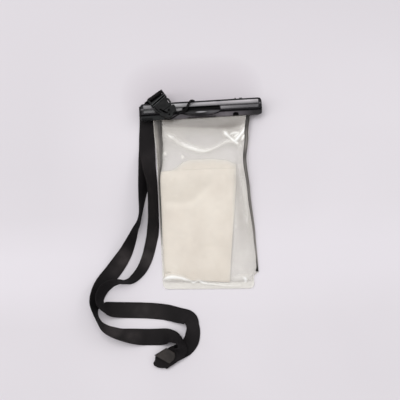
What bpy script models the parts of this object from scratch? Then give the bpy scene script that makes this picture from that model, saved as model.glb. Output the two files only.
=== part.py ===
"""A waterproof phone pouch, lying on its back: a clamp bar across the mouth of a clear bag, a neck strap and its buckle.

All sizes are in millimetres and are turned into metres when a mesh is made.
X runs along the clamp bar, Y from the bag's bottom to the clamp, and Z up from the surface it lies on.
"""

import math

import bmesh
import bpy
from mathutils import Matrix, Vector

for old in list(bpy.data.objects):
    bpy.data.objects.remove(old, do_unlink=True)

MM = 0.001
GAP = 0.3

# Whole pouch
POUCH_LENGTH = 176.6
BAR_LENGTH = 115.0
NUB = 0.4
BAR_TOP = POUCH_LENGTH / 2 - NUB

# Neck strap webbing
STRAP_WIDTH = 15.0
STRAP_THICK = 0.8

# Clamp bar, its section across the bar
BAR_DEPTH = 15.1
FRAME_DEPTH = 10.9
LIP_EDGE = BAR_TOP - BAR_DEPTH
FRAME_EDGE = BAR_TOP - FRAME_DEPTH
REAR_BOTTOM = 2 * STRAP_THICK + 2 * GAP
REAR_HEIGHT = 6.1
REAR_TOP = REAR_BOTTOM + REAR_HEIGHT
PARTING = REAR_TOP + GAP
COVER_HEIGHT = 6.4
COVER_TOP = PARTING + COVER_HEIGHT
LIP_OUTER = 1.6
LIP_INNER = 3.5
END_ROUND = 3.0
EDGE_ROUND = 1.2

# Hinge along the top edge of the bar
HINGE_Y = BAR_TOP - 2.4
HINGE_Z = PARTING
HINGE_COVE = 2.8
KNUCKLE_RADIUS = 1.7
PIN_RADIUS = 0.8
PIN_BORE = PIN_RADIUS + GAP
LUG_CENTRE = 34.75
LUG_WIDTH = 5.0
BOSS_WIDTH = 2.3

# Bag films
FILM_THICK = 0.4
BAG_LEFT = -44.8
BAG_FOOT_RIGHT = 39.6
BAG_SLANT = 0.05
BAG_MOUTH = HINGE_Y - HINGE_COVE - GAP
CORNER_ROUND = 4.5
BAG_BOTTOM = -POUCH_LENGTH / 2 + BAG_SLANT * (BAG_FOOT_RIGHT - CORNER_ROUND - BAG_LEFT)
WELD_SIDE = 1.2
WELD_BOTTOM = 4.4
BULGE = 3.5
RISE_START = 0.2265 * POUCH_LENGTH
CHANNEL_DEPTH = 1.4
CHANNEL_HALF = 47.3

# Seal
RIB_CENTRE = LIP_EDGE + 6.6
RIB_WIDTH = 1.6
GASKET_WIDTH = 2.2
GASKET_HEIGHT = 0.8

# Cover inlays
INLAY_THICK = 0.8
INLAY_END = 3.1
INLAY_TOP_MARGIN = 1.7
INLAY_UPPER_WIDTH = 3.8
INLAY_RAIL = 0.9
INLAY_LOWER_WIDTH = 3.1

# Thumb latch in the middle of the cover
LATCH_HALF = 18.0
LATCH_RISE = 3.3
LATCH_Y = LIP_EDGE + 4.6
LATCH_AXIS_Y = LIP_EDGE + 3.2
LATCH_AXIS_Z = PARTING + 3.2
LATCH_BARREL = 1.2
LATCH_PIN = 0.6
LATCH_BARREL_HALF = 9.5
LATCH_BEARING = 2.5
LATCH_SLOT_RISE = 5.1
LATCH_PLATE = 0.8

# Eyelets in the lip
EYELET_X = 32.6
EYELET_WIDTH = 5.2
EYELET_DEPTH = 2.0
EYELET_BAR = 0.9

# Grip ribs along the lip
GRIP_COUNT = 9
GRIP_PITCH = 3.0
GRIP_SIZE = 0.5

# Side-release buckle, in its own frame: a along its length from the slot end, b across, c up
BUCKLE_AT = (-43.4, 95.2)
BUCKLE_ANGLE = -56.5
BUCKLE_HALF = 8.3
BUCKLE_BOTTOM = COVER_TOP + GAP
SOCKET_HEIGHT = 5.2
SOCKET_WALL = 1.0
SLOT_START = 2.0
SLOT_END = 5.4
SLOT_HALF = 6.9
BLOCK_END = 8.0
SOCKET_END = 17.9
PLATE_HALF = 6.2
GUIDE_INNER = 2.2
GUIDE_OUTER = 3.2
PLUG_START = SOCKET_END + 0.4
PLUG_LENGTH = 9.0
CORD_HOLE_AT = PLUG_START + 6.3
CORD_HOLE = 1.0

# Thin cord between the plug and the clamp, with its knot; it clears the lifted latch
CORD_DIAMETER = 1.2
CORD_OVER = COVER_TOP + 2.7
KNOT_AT = (-9.2, 87.4)
KNOT_HALF = (2.4, 1.4, 1.1)

# Clasp that joins the two ends of the webbing
CLASP_AT = (-44.2, -149.4)
CLASP_ANGLE = 210.0
CLASP_WIDTH = 16.8
CLASP_LENGTH = 12.2
CLASP_HEIGHT = 5.8
CLASP_WALL = 0.8

# Paper slip in the bag
PAPER_SHEET = 0.45


def material(name, colour, roughness, metallic=0.0, alpha=1.0):
    made = bpy.data.materials.new(name)
    made.use_nodes = True
    shader = made.node_tree.nodes["Principled BSDF"]
    shader.inputs["Base Color"].default_value = (*colour, 1.0)
    shader.inputs["Roughness"].default_value = roughness
    shader.inputs["Metallic"].default_value = metallic
    shader.inputs["Alpha"].default_value = alpha
    return made


BLACK_PLASTIC = material("black_plastic", (0.018, 0.017, 0.019), 0.35)
GREY_METAL = material("grey_metal", (0.30, 0.30, 0.31), 0.32, metallic=0.9)
STEEL = material("steel", (0.55, 0.55, 0.56), 0.3, metallic=1.0)
RUBBER = material("rubber", (0.05, 0.05, 0.05), 0.8)
CLEAR_FILM = material("clear_film", (0.86, 0.85, 0.82), 0.15, alpha=0.35)
BLACK_BAND = material("black_band", (0.05, 0.05, 0.05), 0.4)
CREAM_PAPER = material("cream_paper", (0.76, 0.70, 0.60), 0.8)
WEBBING = material("webbing", (0.012, 0.011, 0.012), 0.75)
CLASP_PLASTIC = material("clasp_plastic", (0.045, 0.038, 0.035), 0.55)


def mesh_from(name, points, faces):
    mesh = bpy.data.meshes.new(name)
    mesh.from_pydata([Vector(p) * MM for p in points], [], faces)
    built = bmesh.new()
    built.from_mesh(mesh)
    bmesh.ops.recalc_face_normals(built, faces=built.faces)
    built.to_mesh(mesh)
    built.free()
    obj = bpy.data.objects.new(name, mesh)
    bpy.context.scene.collection.objects.link(obj)
    return obj


def dress(obj, used, sharp=35.0):
    obj.data.materials.append(used)
    obj.data.shade_smooth()
    obj.data.set_sharp_from_angle(angle=math.radians(sharp))
    return obj


def loft(name, rings):
    """A closed solid through rings of as many points each, capped at both ends."""
    count = len(rings[0])
    points = [p for ring in rings for p in ring]
    faces = [list(range(count)), [len(points) - 1 - i for i in range(count)]]
    for k in range(len(rings) - 1):
        for i in range(count):
            j = (i + 1) % count
            faces.append([k * count + i, k * count + j, (k + 1) * count + j, (k + 1) * count + i])
    return mesh_from(name, points, faces)


def prism_z(name, outline, low, high):
    return loft(name, [[(x, y, low) for x, y in outline], [(x, y, high) for x, y in outline]])


def prism_x(name, outline, left, right):
    return loft(name, [[(left, y, z) for y, z in outline], [(right, y, z) for y, z in outline]])


def box(name, low, high):
    (x0, y0, z0), (x1, y1, z1) = low, high
    return prism_z(name, [(x0, y0), (x1, y0), (x1, y1), (x0, y1)], z0, z1)


def circle(u, v, radius, sides=20):
    turn = 2 * math.pi / sides
    return [(u + radius * math.cos(i * turn), v + radius * math.sin(i * turn)) for i in range(sides)]


def rod_x(name, y, z, radius, left, right, sides=20):
    return prism_x(name, circle(y, z, radius, sides), left, right)


def arc(u, v, radius, start, end, steps=4):
    """Points along an arc round (u, v), its angles in degrees."""
    angles = [math.radians(start + (end - start) * i / steps) for i in range(steps + 1)]
    return [(u + radius * math.cos(a), v + radius * math.sin(a)) for a in angles]


def rounded(x0, y0, x1, y1, radius, steps=4):
    return (
        arc(x1 - radius, y1 - radius, radius, 0, 90, steps)
        + arc(x0 + radius, y1 - radius, radius, 90, 180, steps)
        + arc(x0 + radius, y0 + radius, radius, 180, 270, steps)
        + arc(x1 - radius, y0 + radius, radius, 270, 360, steps)
    )


def combine(target, tool, operation):
    tool.hide_render = True
    tool.display_type = "WIRE"
    step = target.modifiers.new(f"{operation.lower()} {tool.name}", "BOOLEAN")
    step.operation = operation
    step.solver = "EXACT"
    step.object = tool


def cut(target, *tools):
    for tool in tools:
        combine(target, tool, "DIFFERENCE")


def join(target, *tools):
    for tool in tools:
        combine(target, tool, "UNION")


def rounded_ends(half, radius, steps=5):
    """(x, inset) stations along the bar, whose ends are rounded with that radius."""
    left = []
    for i in range(steps + 1):
        along = radius * (1 - math.cos(math.radians(90 * i / steps)))
        left.append((-half + along, radius - math.sqrt(max(0.0, radius**2 - (radius - along) ** 2))))
    return left + [(-x, inset) for x, inset in reversed(left)]


def smooth(t):
    t = min(max(t, 0.0), 1.0)
    return t * t * (3 - 2 * t)


def through(points, at):
    """The value at a place, on a smooth curve through (place, value) points in falling order of place."""
    if at >= points[0][0]:
        return points[0][1]
    for (a, u), (b, v) in zip(points, points[1:]):
        if at >= b:
            return u + (v - u) * smooth((a - at) / (a - b))
    return points[-1][1]


# Clamp bar


def cover_section(inset):
    """The cover's outline in Y and Z: a low lip, a step, the raised frame and a rounded top edge."""
    lip = LIP_EDGE + 0.6 * inset
    top = BAR_TOP - inset
    high = COVER_TOP - inset * 0.55
    lip_low = PARTING + LIP_OUTER - 0.2 * inset
    lip_high = PARTING + LIP_INNER - 0.3 * inset
    return (
        [(lip, PARTING), (lip, lip_low - 0.6), (lip + 0.5, lip_low)]
        + [(FRAME_EDGE - 0.3, lip_high), (FRAME_EDGE, high - 0.9)]
        + arc(FRAME_EDGE + 0.8, high - 0.8, 0.8, 180, 90, 3)
        + arc(top - EDGE_ROUND, high - EDGE_ROUND, EDGE_ROUND, 90, 0, 4)
        + [(top, PARTING)]
    )


def rear_section(inset):
    lip = LIP_EDGE + 0.8 + inset
    top = BAR_TOP - 0.6 - inset
    low = REAR_BOTTOM + inset * 0.4
    return (
        [(lip, REAR_TOP), (top, REAR_TOP)]
        + arc(top - 1.5, low + 1.5, 1.5, 0, -90, 4)
        + arc(lip + 1.5, low + 1.5, 1.5, -90, -180, 4)
    )


def bar_loft(name, section, half, radius):
    return loft(name, [[(x, y, z) for y, z in section(inset)] for x, inset in rounded_ends(half, radius)])


def lens(half, rise, centre, steps=16):
    """A lens outline: two arcs that meet in rounded points."""
    upper = []
    for i in range(steps + 1):
        turn = math.pi * i / steps
        upper.append((half * math.cos(turn), centre + rise * math.sin(turn) ** 1.35))
    lower = [(-x, 2 * centre - y) for x, y in upper[1:-1]]
    return upper + lower


def lugs():
    return [side * LUG_CENTRE for side in (-1, 1)]


def make_front_jaw():
    jaw = bar_loft("front_jaw", cover_section, BAR_LENGTH / 2, END_ROUND)
    for i, x in enumerate(lugs()):
        for k, side in enumerate((-1, 1)):
            inner = x + side * (LUG_WIDTH / 2 + GAP)
            outer = inner + side * BOSS_WIDTH
            left, right = min(inner, outer), max(inner, outer)
            join(jaw, rod_x(f"boss_{i}{k}", HINGE_Y, HINGE_Z, KNUCKLE_RADIUS, left, right))
            nub_left = min(inner, inner + side * 1.0)
            nub = box(f"nub_{i}{k}", (nub_left, BAR_TOP - 1, PARTING + 1), (nub_left + 1.0, BAR_TOP + NUB, COVER_TOP - 2))
            join(jaw, nub)
    for i in range(GRIP_COUNT):
        x = (i - (GRIP_COUNT - 1) / 2) * GRIP_PITCH
        low = (x - GRIP_SIZE, LIP_EDGE - 0.25, PARTING + 0.2)
        high = (x + GRIP_SIZE, LIP_EDGE + 0.8, PARTING + LIP_OUTER - 0.3)
        join(jaw, box(f"grip_{i}", low, high))
    top_y = BAR_TOP - INLAY_TOP_MARGIN + GAP
    mid_y = BAR_TOP - INLAY_TOP_MARGIN - INLAY_UPPER_WIDTH - INLAY_RAIL + GAP
    end = BAR_LENGTH / 2 - INLAY_END + GAP
    floor = COVER_TOP - INLAY_THICK - GAP
    upper = rounded(-end, top_y - INLAY_UPPER_WIDTH - 2 * GAP, end, top_y, 0.7, 3)
    cut(jaw, prism_z("cut_inlay_upper", upper, floor, COVER_TOP + 2))
    for name, left, right in (("left", -end, -LATCH_HALF + 0.2 + GAP), ("right", LATCH_HALF + 0.4 - GAP, end)):
        lower = rounded(left, mid_y - INLAY_LOWER_WIDTH - 2 * GAP, right, mid_y, 0.7, 3)
        cut(jaw, prism_z(f"cut_inlay_{name}", lower, floor, COVER_TOP + 2))
    pocket = lens(LATCH_HALF + 0.5, LATCH_RISE + 0.5, LATCH_Y)
    cut(jaw, prism_z("cut_latch_pocket", pocket, LATCH_AXIS_Z - LATCH_BARREL - GAP, COVER_TOP + 2))
    slot = rounded(-LATCH_HALF + 0.8, LATCH_Y, LATCH_HALF - 0.2, LATCH_Y + LATCH_SLOT_RISE, 0.5, 2)
    cut(jaw, prism_z("cut_latch_slot", slot, COVER_TOP - 2.6, COVER_TOP + 2))
    for k, side in enumerate((-1, 1)):
        near = side * (LATCH_BARREL_HALF + GAP + 0.1)
        far = near + side * LATCH_BEARING
        left, right = min(near, far), max(near, far)
        join(jaw, rod_x(f"bearing_{k}", LATCH_AXIS_Y, LATCH_AXIS_Z, 1.15, left, right, 16))
        foot_low = (left, LATCH_AXIS_Y - 0.9, PARTING + 1)
        join(jaw, box(f"bearing_foot_{k}", foot_low, (right, LATCH_AXIS_Y + 0.9, LATCH_AXIS_Z)))
    reach = LATCH_BARREL_HALF + LATCH_BEARING + 2
    cut(jaw, rod_x("cut_latch_pin", LATCH_AXIS_Y, LATCH_AXIS_Z, LATCH_PIN + GAP, -reach, reach, 16))
    for side in (-1, 1):
        name = "left" if side < 0 else "right"
        x = side * EYELET_X
        low_y = LIP_EDGE + EYELET_BAR
        high_y = low_y + EYELET_DEPTH
        half = EYELET_WIDTH / 2
        arch = [(x - half, low_y), (x + half, low_y)] + arc(x + half - 1.4, high_y - 1.4, 1.4, 0, 90, 3)
        arch += arc(x - half + 1.4, high_y - 1.4, 1.4, 90, 180, 3)
        cut(jaw, prism_z(f"cut_eyelet_{name}", arch, PARTING - 2, COVER_TOP))
        near, far = side * 21.0, side * (BAR_LENGTH / 2 - 4.5)
        left, right = min(near, far), max(near, far)
        low_wall = RIB_CENTRE - RIB_WIDTH / 2
        high_wall = RIB_CENTRE + RIB_WIDTH / 2
        cavity = ((left, LIP_EDGE + 3.4, PARTING - 1), (right, low_wall, PARTING + 2.2))
        cut(jaw, box(f"cut_cavity_low_{name}", *cavity))
        cavity = ((left, high_wall, PARTING - 1), (right, HINGE_Y - KNUCKLE_RADIUS - 0.6, PARTING + 3.4))
        cut(jaw, box(f"cut_cavity_high_{name}", *cavity))
        slot_left = side * LUG_CENTRE - LUG_WIDTH / 2 - GAP
        low = (slot_left, HINGE_Y - 2.4, PARTING - 3)
        high = (slot_left + LUG_WIDTH + 2 * GAP, BAR_TOP + 3, PARTING + 2.4)
        cut(jaw, box(f"cut_lug_slot_{name}", low, high))
        left = side * LUG_CENTRE - LUG_WIDTH / 2 - GAP - BOSS_WIDTH - 1
        right = left + LUG_WIDTH + 2 * (GAP + BOSS_WIDTH + 1)
        cut(jaw, rod_x(f"cut_hinge_bore_{name}", HINGE_Y, HINGE_Z, PIN_BORE, left, right))
    return dress(jaw, BLACK_PLASTIC)


def make_rear_jaw():
    jaw = bar_loft("rear_jaw", rear_section, BAR_LENGTH / 2 - 0.8, END_ROUND)
    half = BAR_LENGTH / 2 + 1
    channel_low = (-CHANNEL_HALF, LIP_EDGE - 2, REAR_TOP - CHANNEL_DEPTH)
    cut(jaw, box("cut_channel", channel_low, (CHANNEL_HALF, HINGE_Y - 2.3, REAR_TOP + 2)))
    groove = GASKET_WIDTH / 2 + GAP
    groove_floor = REAR_TOP - CHANNEL_DEPTH - GASKET_HEIGHT - GAP
    groove_low = (-CHANNEL_HALF + 1, RIB_CENTRE - groove, groove_floor)
    cut(jaw, box("cut_gasket_groove", groove_low, (CHANNEL_HALF - 1, RIB_CENTRE + groove, REAR_TOP)))
    cut(jaw, rod_x("cut_cove", HINGE_Y, HINGE_Z, HINGE_COVE, -half, half, 28))
    for i, x in enumerate(lugs()):
        left, right = x - LUG_WIDTH / 2, x + LUG_WIDTH / 2
        join(jaw, rod_x(f"lug_{i}", HINGE_Y, HINGE_Z, KNUCKLE_RADIUS, left, right))
        web_low = (left, HINGE_Y - 1.4, REAR_BOTTOM + 2)
        join(jaw, box(f"lug_web_{i}", web_low, (right, HINGE_Y + 1.2, HINGE_Z)))
    for i, x in enumerate(lugs()):
        reach = LUG_WIDTH / 2 + 1
        cut(jaw, rod_x(f"cut_lug_bore_{i}", HINGE_Y, HINGE_Z, PIN_BORE, x - reach, x + reach))
    return dress(jaw, BLACK_PLASTIC)


def make_hinge_pins():
    for x, name in zip(lugs(), ("left", "right")):
        reach = LUG_WIDTH / 2 + GAP + BOSS_WIDTH - 0.2
        dress(rod_x(f"hinge_pin_{name}", HINGE_Y, HINGE_Z, PIN_RADIUS, x - reach, x + reach, 16), STEEL)


def make_gasket():
    floor = REAR_TOP - CHANNEL_DEPTH - GASKET_HEIGHT
    half = CHANNEL_HALF - 1 - GAP
    outline = rounded(-half, RIB_CENTRE - GASKET_WIDTH / 2, half, RIB_CENTRE + GASKET_WIDTH / 2, 0.9, 4)
    dress(prism_z("seal_gasket", outline, floor, floor + GASKET_HEIGHT - GAP + 0.2), RUBBER)


def crowned_strip(name, left, right, low, high, ends):
    """A thin inlay plate with a slightly crowned face."""
    bottom = COVER_TOP - INLAY_THICK
    outline = rounded(left, low, right, high, ends, 4)
    shrunk = rounded(left + 0.35, low + 0.35, right - 0.35, high - 0.35, max(0.2, ends - 0.35), 4)
    rings = [[(x, y, z) for x, y in ring] for ring, z in (
        (outline, bottom), (outline, COVER_TOP - 0.25), (shrunk, COVER_TOP - 0.05))]
    return loft(name, rings)


def make_inlays():
    end = BAR_LENGTH / 2 - INLAY_END
    top = BAR_TOP - INLAY_TOP_MARGIN
    mid = top - INLAY_UPPER_WIDTH - INLAY_RAIL
    bottom = mid - INLAY_LOWER_WIDTH
    dress(crowned_strip("inlay_upper", -end, end, top - INLAY_UPPER_WIDTH, top, 0.6), GREY_METAL)
    dress(crowned_strip("inlay_lower_left", -end, -LATCH_HALF + 0.2, bottom, mid, 0.6), GREY_METAL)
    dress(crowned_strip("inlay_lower_right", LATCH_HALF + 0.4, end, bottom, mid, 0.6), GREY_METAL)


def make_latch():
    """The lens-shaped thumb latch with its barrel underneath."""
    rim_low = LATCH_AXIS_Z + 1.5
    rim_high = rim_low + LATCH_PLATE
    crown = COVER_TOP - 0.1
    rings = []
    for share, z in ((0.9, rim_low), (1.0, rim_low + 0.25), (1.0, rim_high)):
        rings.append([(x, y, z) for x, y in lens(LATCH_HALF * share, LATCH_RISE * share, LATCH_Y)])
    for k in range(1, 5):
        turn = math.radians(90 * k / 5)
        share = math.cos(turn)
        z = rim_high + (crown - rim_high) * math.sin(turn)
        rings.append([(x, y, z) for x, y in lens(LATCH_HALF * share, LATCH_RISE * share, LATCH_Y)])
    latch = loft("thumb_latch", rings)
    join(latch, rod_x("latch_barrel", LATCH_AXIS_Y, LATCH_AXIS_Z, LATCH_BARREL, -LATCH_BARREL_HALF, LATCH_BARREL_HALF, 16))
    web_low = (-LATCH_BARREL_HALF, LATCH_AXIS_Y - 0.5, LATCH_AXIS_Z)
    join(latch, box("latch_web", web_low, (LATCH_BARREL_HALF, LATCH_AXIS_Y + 1.1, rim_low + 0.4)))
    reach = LATCH_BARREL_HALF + 1
    cut(latch, rod_x("cut_latch_bore", LATCH_AXIS_Y, LATCH_AXIS_Z, LATCH_PIN + GAP / 1.5, -reach, reach, 12))
    dress(latch, BLACK_PLASTIC)
    reach = LATCH_BARREL_HALF + LATCH_BEARING
    dress(rod_x("latch_pin", LATCH_AXIS_Y, LATCH_AXIS_Z, LATCH_PIN, -reach, reach, 12), STEEL)


# Bag

# The heights in the bag's tables are for a pouch of this length, and follow POUCH_LENGTH
READ_AT = 176.6
RIGHT_EDGE = ((74, 45.8), (55, 43.4), (30, 40.0), (2, 41.6), (-40, 43.8), (-71, 44.4), (-75.5, BAG_FOOT_RIGHT))
EDGE_LIFT = ((74, 0.0), (58, 1.2), (30, 5.0), (0, 3.2), (-45, 0.8), (-80, 0.0))
LIFT_START = 31.0


def read_height(y):
    return y * READ_AT / POUCH_LENGTH


def slant(x, y):
    """How much lower the bag lies towards the right, growing from the clamp to the bottom."""
    share = min(max((LIP_EDGE - y) / (LIP_EDGE - BAG_BOTTOM), 0.0), 1.0)
    return BAG_SLANT * (x - BAG_LEFT) * share


def corner_inset(y):
    away = y - BAG_BOTTOM
    if away >= CORNER_ROUND:
        return 0.0
    return CORNER_ROUND - math.sqrt(CORNER_ROUND**2 - (CORNER_ROUND - away) ** 2)


def left_edge(y):
    return BAG_LEFT + corner_inset(y)


def right_edge(y):
    return through(RIGHT_EDGE, read_height(y)) - corner_inset(y)


def back_surface(x, y):
    """The underside of the back film: flat on the ground, rising to the channel in the rear jaw."""
    channel = REAR_TOP - CHANNEL_DEPTH + GAP
    rise = channel * smooth((y - RISE_START) / (LIP_EDGE - 1.0 - RISE_START))
    lift = through(EDGE_LIFT, read_height(y)) * smooth((x - LIFT_START) / (right_edge(y) - LIFT_START)) ** 1.5
    return rise + lift


def pillow(x, y):
    """How far the front film stands off the back one, from 0 on the welds to 1 inside."""

    def quarter(inside, radius):
        t = min(max(inside / radius, 0.0), 1.0)
        return math.sqrt(1 - (1 - t) ** 2)

    sides = quarter(x - left_edge(y) - WELD_SIDE, 14) * quarter(right_edge(y) - WELD_SIDE - x, 14)
    ends = quarter(y - BAG_BOTTOM - WELD_BOTTOM, 12) * smooth((LIP_EDGE - 1 - y) / 34)
    return sides * ends


def front_surface(x, y):
    return back_surface(x, y) + FILM_THICK + GAP + BULGE * pillow(x, y)


def spaced(low, high, count):
    return [low + (high - low) * i / count for i in range(count + 1)]


def sheet(name, surface, thick, rows, across):
    """A closed sheet over a grid: rows are Y places, and across gives the X places of a row."""
    places = [[(x, y) for x in across(y)] for y in rows]
    wide, long = len(places[0]), len(places)
    points = [(x, y - slant(x, y), surface(x, y)) for row in places for x, y in row]
    points += [(x, y, z + thick) for x, y, z in points]
    top = wide * long
    faces = []
    for j in range(long - 1):
        for i in range(wide - 1):
            a = j * wide + i
            faces.append([a, a + wide, a + wide + 1, a + 1])
            faces.append([top + a, top + a + 1, top + a + wide + 1, top + a + wide])
    rim = list(range(wide)) + [j * wide + wide - 1 for j in range(1, long)]
    rim += [(long - 1) * wide + i for i in range(wide - 2, -1, -1)] + [j * wide for j in range(long - 2, 0, -1)]
    for a, b in zip(rim, rim[1:] + rim[:1]):
        faces.append([a, b, top + b, top + a])
    return mesh_from(name, points, faces)


def bag_rows():
    corner = [BAG_BOTTOM + CORNER_ROUND * (1 - math.cos(math.radians(a))) for a in (8, 35, 62, 90)]
    chamber = spaced(BAG_BOTTOM + WELD_BOTTOM + 0.6, LIP_EDGE, 22)
    return [BAG_BOTTOM] + corner + chamber + [BAG_MOUTH]


def bag_across(y):
    left, right = left_edge(y), right_edge(y)
    inner = spaced(left + WELD_SIDE, right - WELD_SIDE, 18)
    steep = [left + WELD_SIDE + 1.4, right - WELD_SIDE - 1.4]
    return sorted([left, right] + inner + steep)


def make_bag():
    dress(sheet("back_film", back_surface, FILM_THICK, bag_rows(), bag_across), CLEAR_FILM, 60)
    dress(sheet("front_film", front_surface, FILM_THICK, bag_rows(), bag_across), CLEAR_FILM, 60)


LEFT_BAND = ((72.4, 5.5), (45, 5.4), (20, 1.3), (-20, 0.8))
LEFT_BAND_END = -0.113 * POUCH_LENGTH
RIGHT_BAND = ((72.4, 3.0), (30, 2.8), (0, 2.2), (-40, 1.4), (-58, 0.9), (-71, 2.6))
RIGHT_BAND_END = BAG_BOTTOM + 13.2
BAND_THICK = 0.35
BAND_INSET = 1.0


def make_side_bands():
    """Black strips along both sides: the left one fades out, the right one stops short of the bottom weld."""
    left_rows = spaced(LEFT_BAND_END, LIP_EDGE - 0.4, 14)
    right_rows = spaced(RIGHT_BAND_END, LIP_EDGE - 0.4, 22)

    def over_film(x, y):
        return front_surface(x, y) + FILM_THICK + GAP

    def left_across(y):
        start = left_edge(y) + BAND_INSET
        return spaced(start, start + through(LEFT_BAND, read_height(y)), 3)

    def right_across(y):
        end = right_edge(y) - 0.2
        return spaced(end - through(RIGHT_BAND, read_height(y)), end, 3)

    dress(sheet("side_band_left", over_film, BAND_THICK, left_rows, left_across), BLACK_BAND, 60)
    dress(sheet("side_band_right", over_film, BAND_THICK, right_rows, right_across), BLACK_BAND, 60)


PAPER_FOOT = ((-41.3, -75.6), (-8.0, -79.8), (17.6, -81.8), (24.0, -20.0))
PAPER_REAR = (*PAPER_FOOT, (30.2, 24.5), (29.0, 31.0), (6.0, 33.0), (-18.0, 32.0), (-28.0, 27.5), (-41.2, 24.0))
PAPER_FRONT = (*PAPER_FOOT, (30.2, 23.0), (-24.0, 23.5), (-41.2, 24.0))


def make_paper():
    """A folded slip: a taller rear leaf and a front leaf, one sheet turned over at the left edge."""

    def drawn(outline):
        return [(x, y * POUCH_LENGTH / READ_AT) for x, y in outline]

    low = FILM_THICK + GAP
    leaf = prism_z("paper_insert", drawn(PAPER_REAR), low, low + PAPER_SHEET + 0.05)
    join(leaf, prism_z("paper_front_leaf", drawn(PAPER_FRONT), low + PAPER_SHEET - 0.05, low + 2 * PAPER_SHEET))
    dress(leaf, CREAM_PAPER)


# Buckle

BUCKLE_FRAME = Matrix.Translation(Vector((*BUCKLE_AT, BUCKLE_BOTTOM)) * MM) @ Matrix.Rotation(
    math.radians(BUCKLE_ANGLE), 4, "Z"
)


def in_buckle(obj):
    """Moves a mesh that was made in the buckle's own frame to its place on the clamp."""
    obj.data.transform(BUCKLE_FRAME)
    return obj


def make_socket():
    high = SOCKET_HEIGHT
    outline = rounded(0, -BUCKLE_HALF, BLOCK_END, BUCKLE_HALF, 0.6, 3)
    socket = in_buckle(prism_z("buckle_socket", outline, 0, high))
    slot = rounded(SLOT_START, -SLOT_HALF, SLOT_END, SLOT_HALF, 0.6, 2)
    cut(socket, in_buckle(prism_z("cut_web_slot", slot, -1, high + 1)))
    for name, low, top in (("bottom", 0, SOCKET_WALL), ("top", high - SOCKET_WALL, high)):
        tip = PLATE_HALF - 0.9
        plate = [(BLOCK_END - 1, -PLATE_HALF), (SOCKET_END - 2, -PLATE_HALF), (SOCKET_END, -tip)]
        plate += [(SOCKET_END, tip), (SOCKET_END - 2, PLATE_HALF), (BLOCK_END - 1, PLATE_HALF)]
        join(socket, in_buckle(prism_z(f"socket_{name}_plate", plate, low, top)))
    for k, side in enumerate((-1, 1)):
        inner, outer = side * GUIDE_INNER, side * GUIDE_OUTER
        low_b, high_b = min(inner, outer), max(inner, outer)
        rail = box(f"socket_guide_{k}", (BLOCK_END - 1, low_b, 0.5), (SOCKET_END - 0.6, high_b, high - 0.5))
        join(socket, in_buckle(rail))
        start = BLOCK_END - 2.5 + k * 1.3
        ridge = box(f"socket_ridge_{k}", (start, -SLOT_HALF, high - 0.3), (start + 0.5, SLOT_HALF, high + 0.4))
        join(socket, in_buckle(ridge))
    return dress(socket, BLACK_PLASTIC)


def arm(name, side):
    """One sprung arm of the plug, bowed outwards past the socket's plates."""
    centre = ((PLUG_START + 1.0, 5.5), (17.0, 6.6), (14.6, 7.9), (12.4, 8.2), (10.6, 7.5), (9.2, 6.7))
    thick = (0.9, 0.8, 0.75, 0.75, 0.8, 0.6)
    left, right = [], []
    for k, ((a, b), half) in enumerate(zip(centre, thick)):
        before, after = centre[max(k - 1, 0)], centre[min(k + 1, len(centre) - 1)]
        along = Vector((after[0] - before[0], after[1] - before[1])).normalized()
        left.append((a - along.y * half, side * (b + along.x * half)))
        right.append((a + along.y * half, side * (b - along.x * half)))
    low = SOCKET_WALL + GAP
    return in_buckle(prism_z(name, left + right[::-1], low, SOCKET_HEIGHT - low))


def make_plug():
    start, end = PLUG_START, PLUG_START + PLUG_LENGTH
    half = [(start, 6.8), (start + 1.3, 7.4), (start + 3.8, 6.5), (start + 6.4, 4.4), (end - 0.9, 2.5), (end, 1.5)]
    outline = half + [(a, -b) for a, b in reversed(half)]
    plug = in_buckle(prism_z("buckle_plug", outline, 0.4, SOCKET_HEIGHT - 0.4))
    low = SOCKET_WALL + GAP
    tongue = [(start + 1, -1.7), (start + 1, 1.7), (11.2, 1.4), (10.4, 0.6), (10.4, -0.6), (11.2, -1.4)]
    join(plug, in_buckle(prism_z("plug_tongue", tongue, low, SOCKET_HEIGHT - low)))
    join(plug, arm("plug_arm_left", -1), arm("plug_arm_right", 1))
    for k in range(3):
        a = start + 2.0 + k * 1.4
        rib = box(f"plug_rib_{k}", (a, -4.0, SOCKET_HEIGHT - 0.8), (a + 0.6, 4.0, SOCKET_HEIGHT))
        join(plug, in_buckle(rib))
    hole = prism_z("cut_cord_hole", circle(CORD_HOLE_AT, 0, CORD_HOLE, 16), -1, SOCKET_HEIGHT + 1)
    cut(plug, in_buckle(hole))
    return dress(plug, BLACK_PLASTIC)


# Cord and webbing


def on_curve(points, steps):
    """Points on a smooth curve through the chosen ones, as vectors of as many numbers."""
    padded = [points[0], *points, points[-1]]
    found = []
    for k in range(1, len(padded) - 2):
        p0, p1, p2, p3 = (Vector(p) for p in padded[k - 1 : k + 3])
        for i in range(steps):
            t = i / steps
            found.append(
                0.5 * ((2 * p1) + (p2 - p0) * t + (2 * p0 - 5 * p1 + 4 * p2 - p3) * t**2 + (3 * p1 - p0 - 3 * p2 + p3) * t**3)
            )
    return found + [Vector(points[-1])]


HOLE_X = BUCKLE_AT[0] + CORD_HOLE_AT * math.cos(math.radians(BUCKLE_ANGLE))
HOLE_Y = BUCKLE_AT[1] + CORD_HOLE_AT * math.sin(math.radians(BUCKLE_ANGLE))
PLUG_TOP = BUCKLE_BOTTOM + SOCKET_HEIGHT
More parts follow.
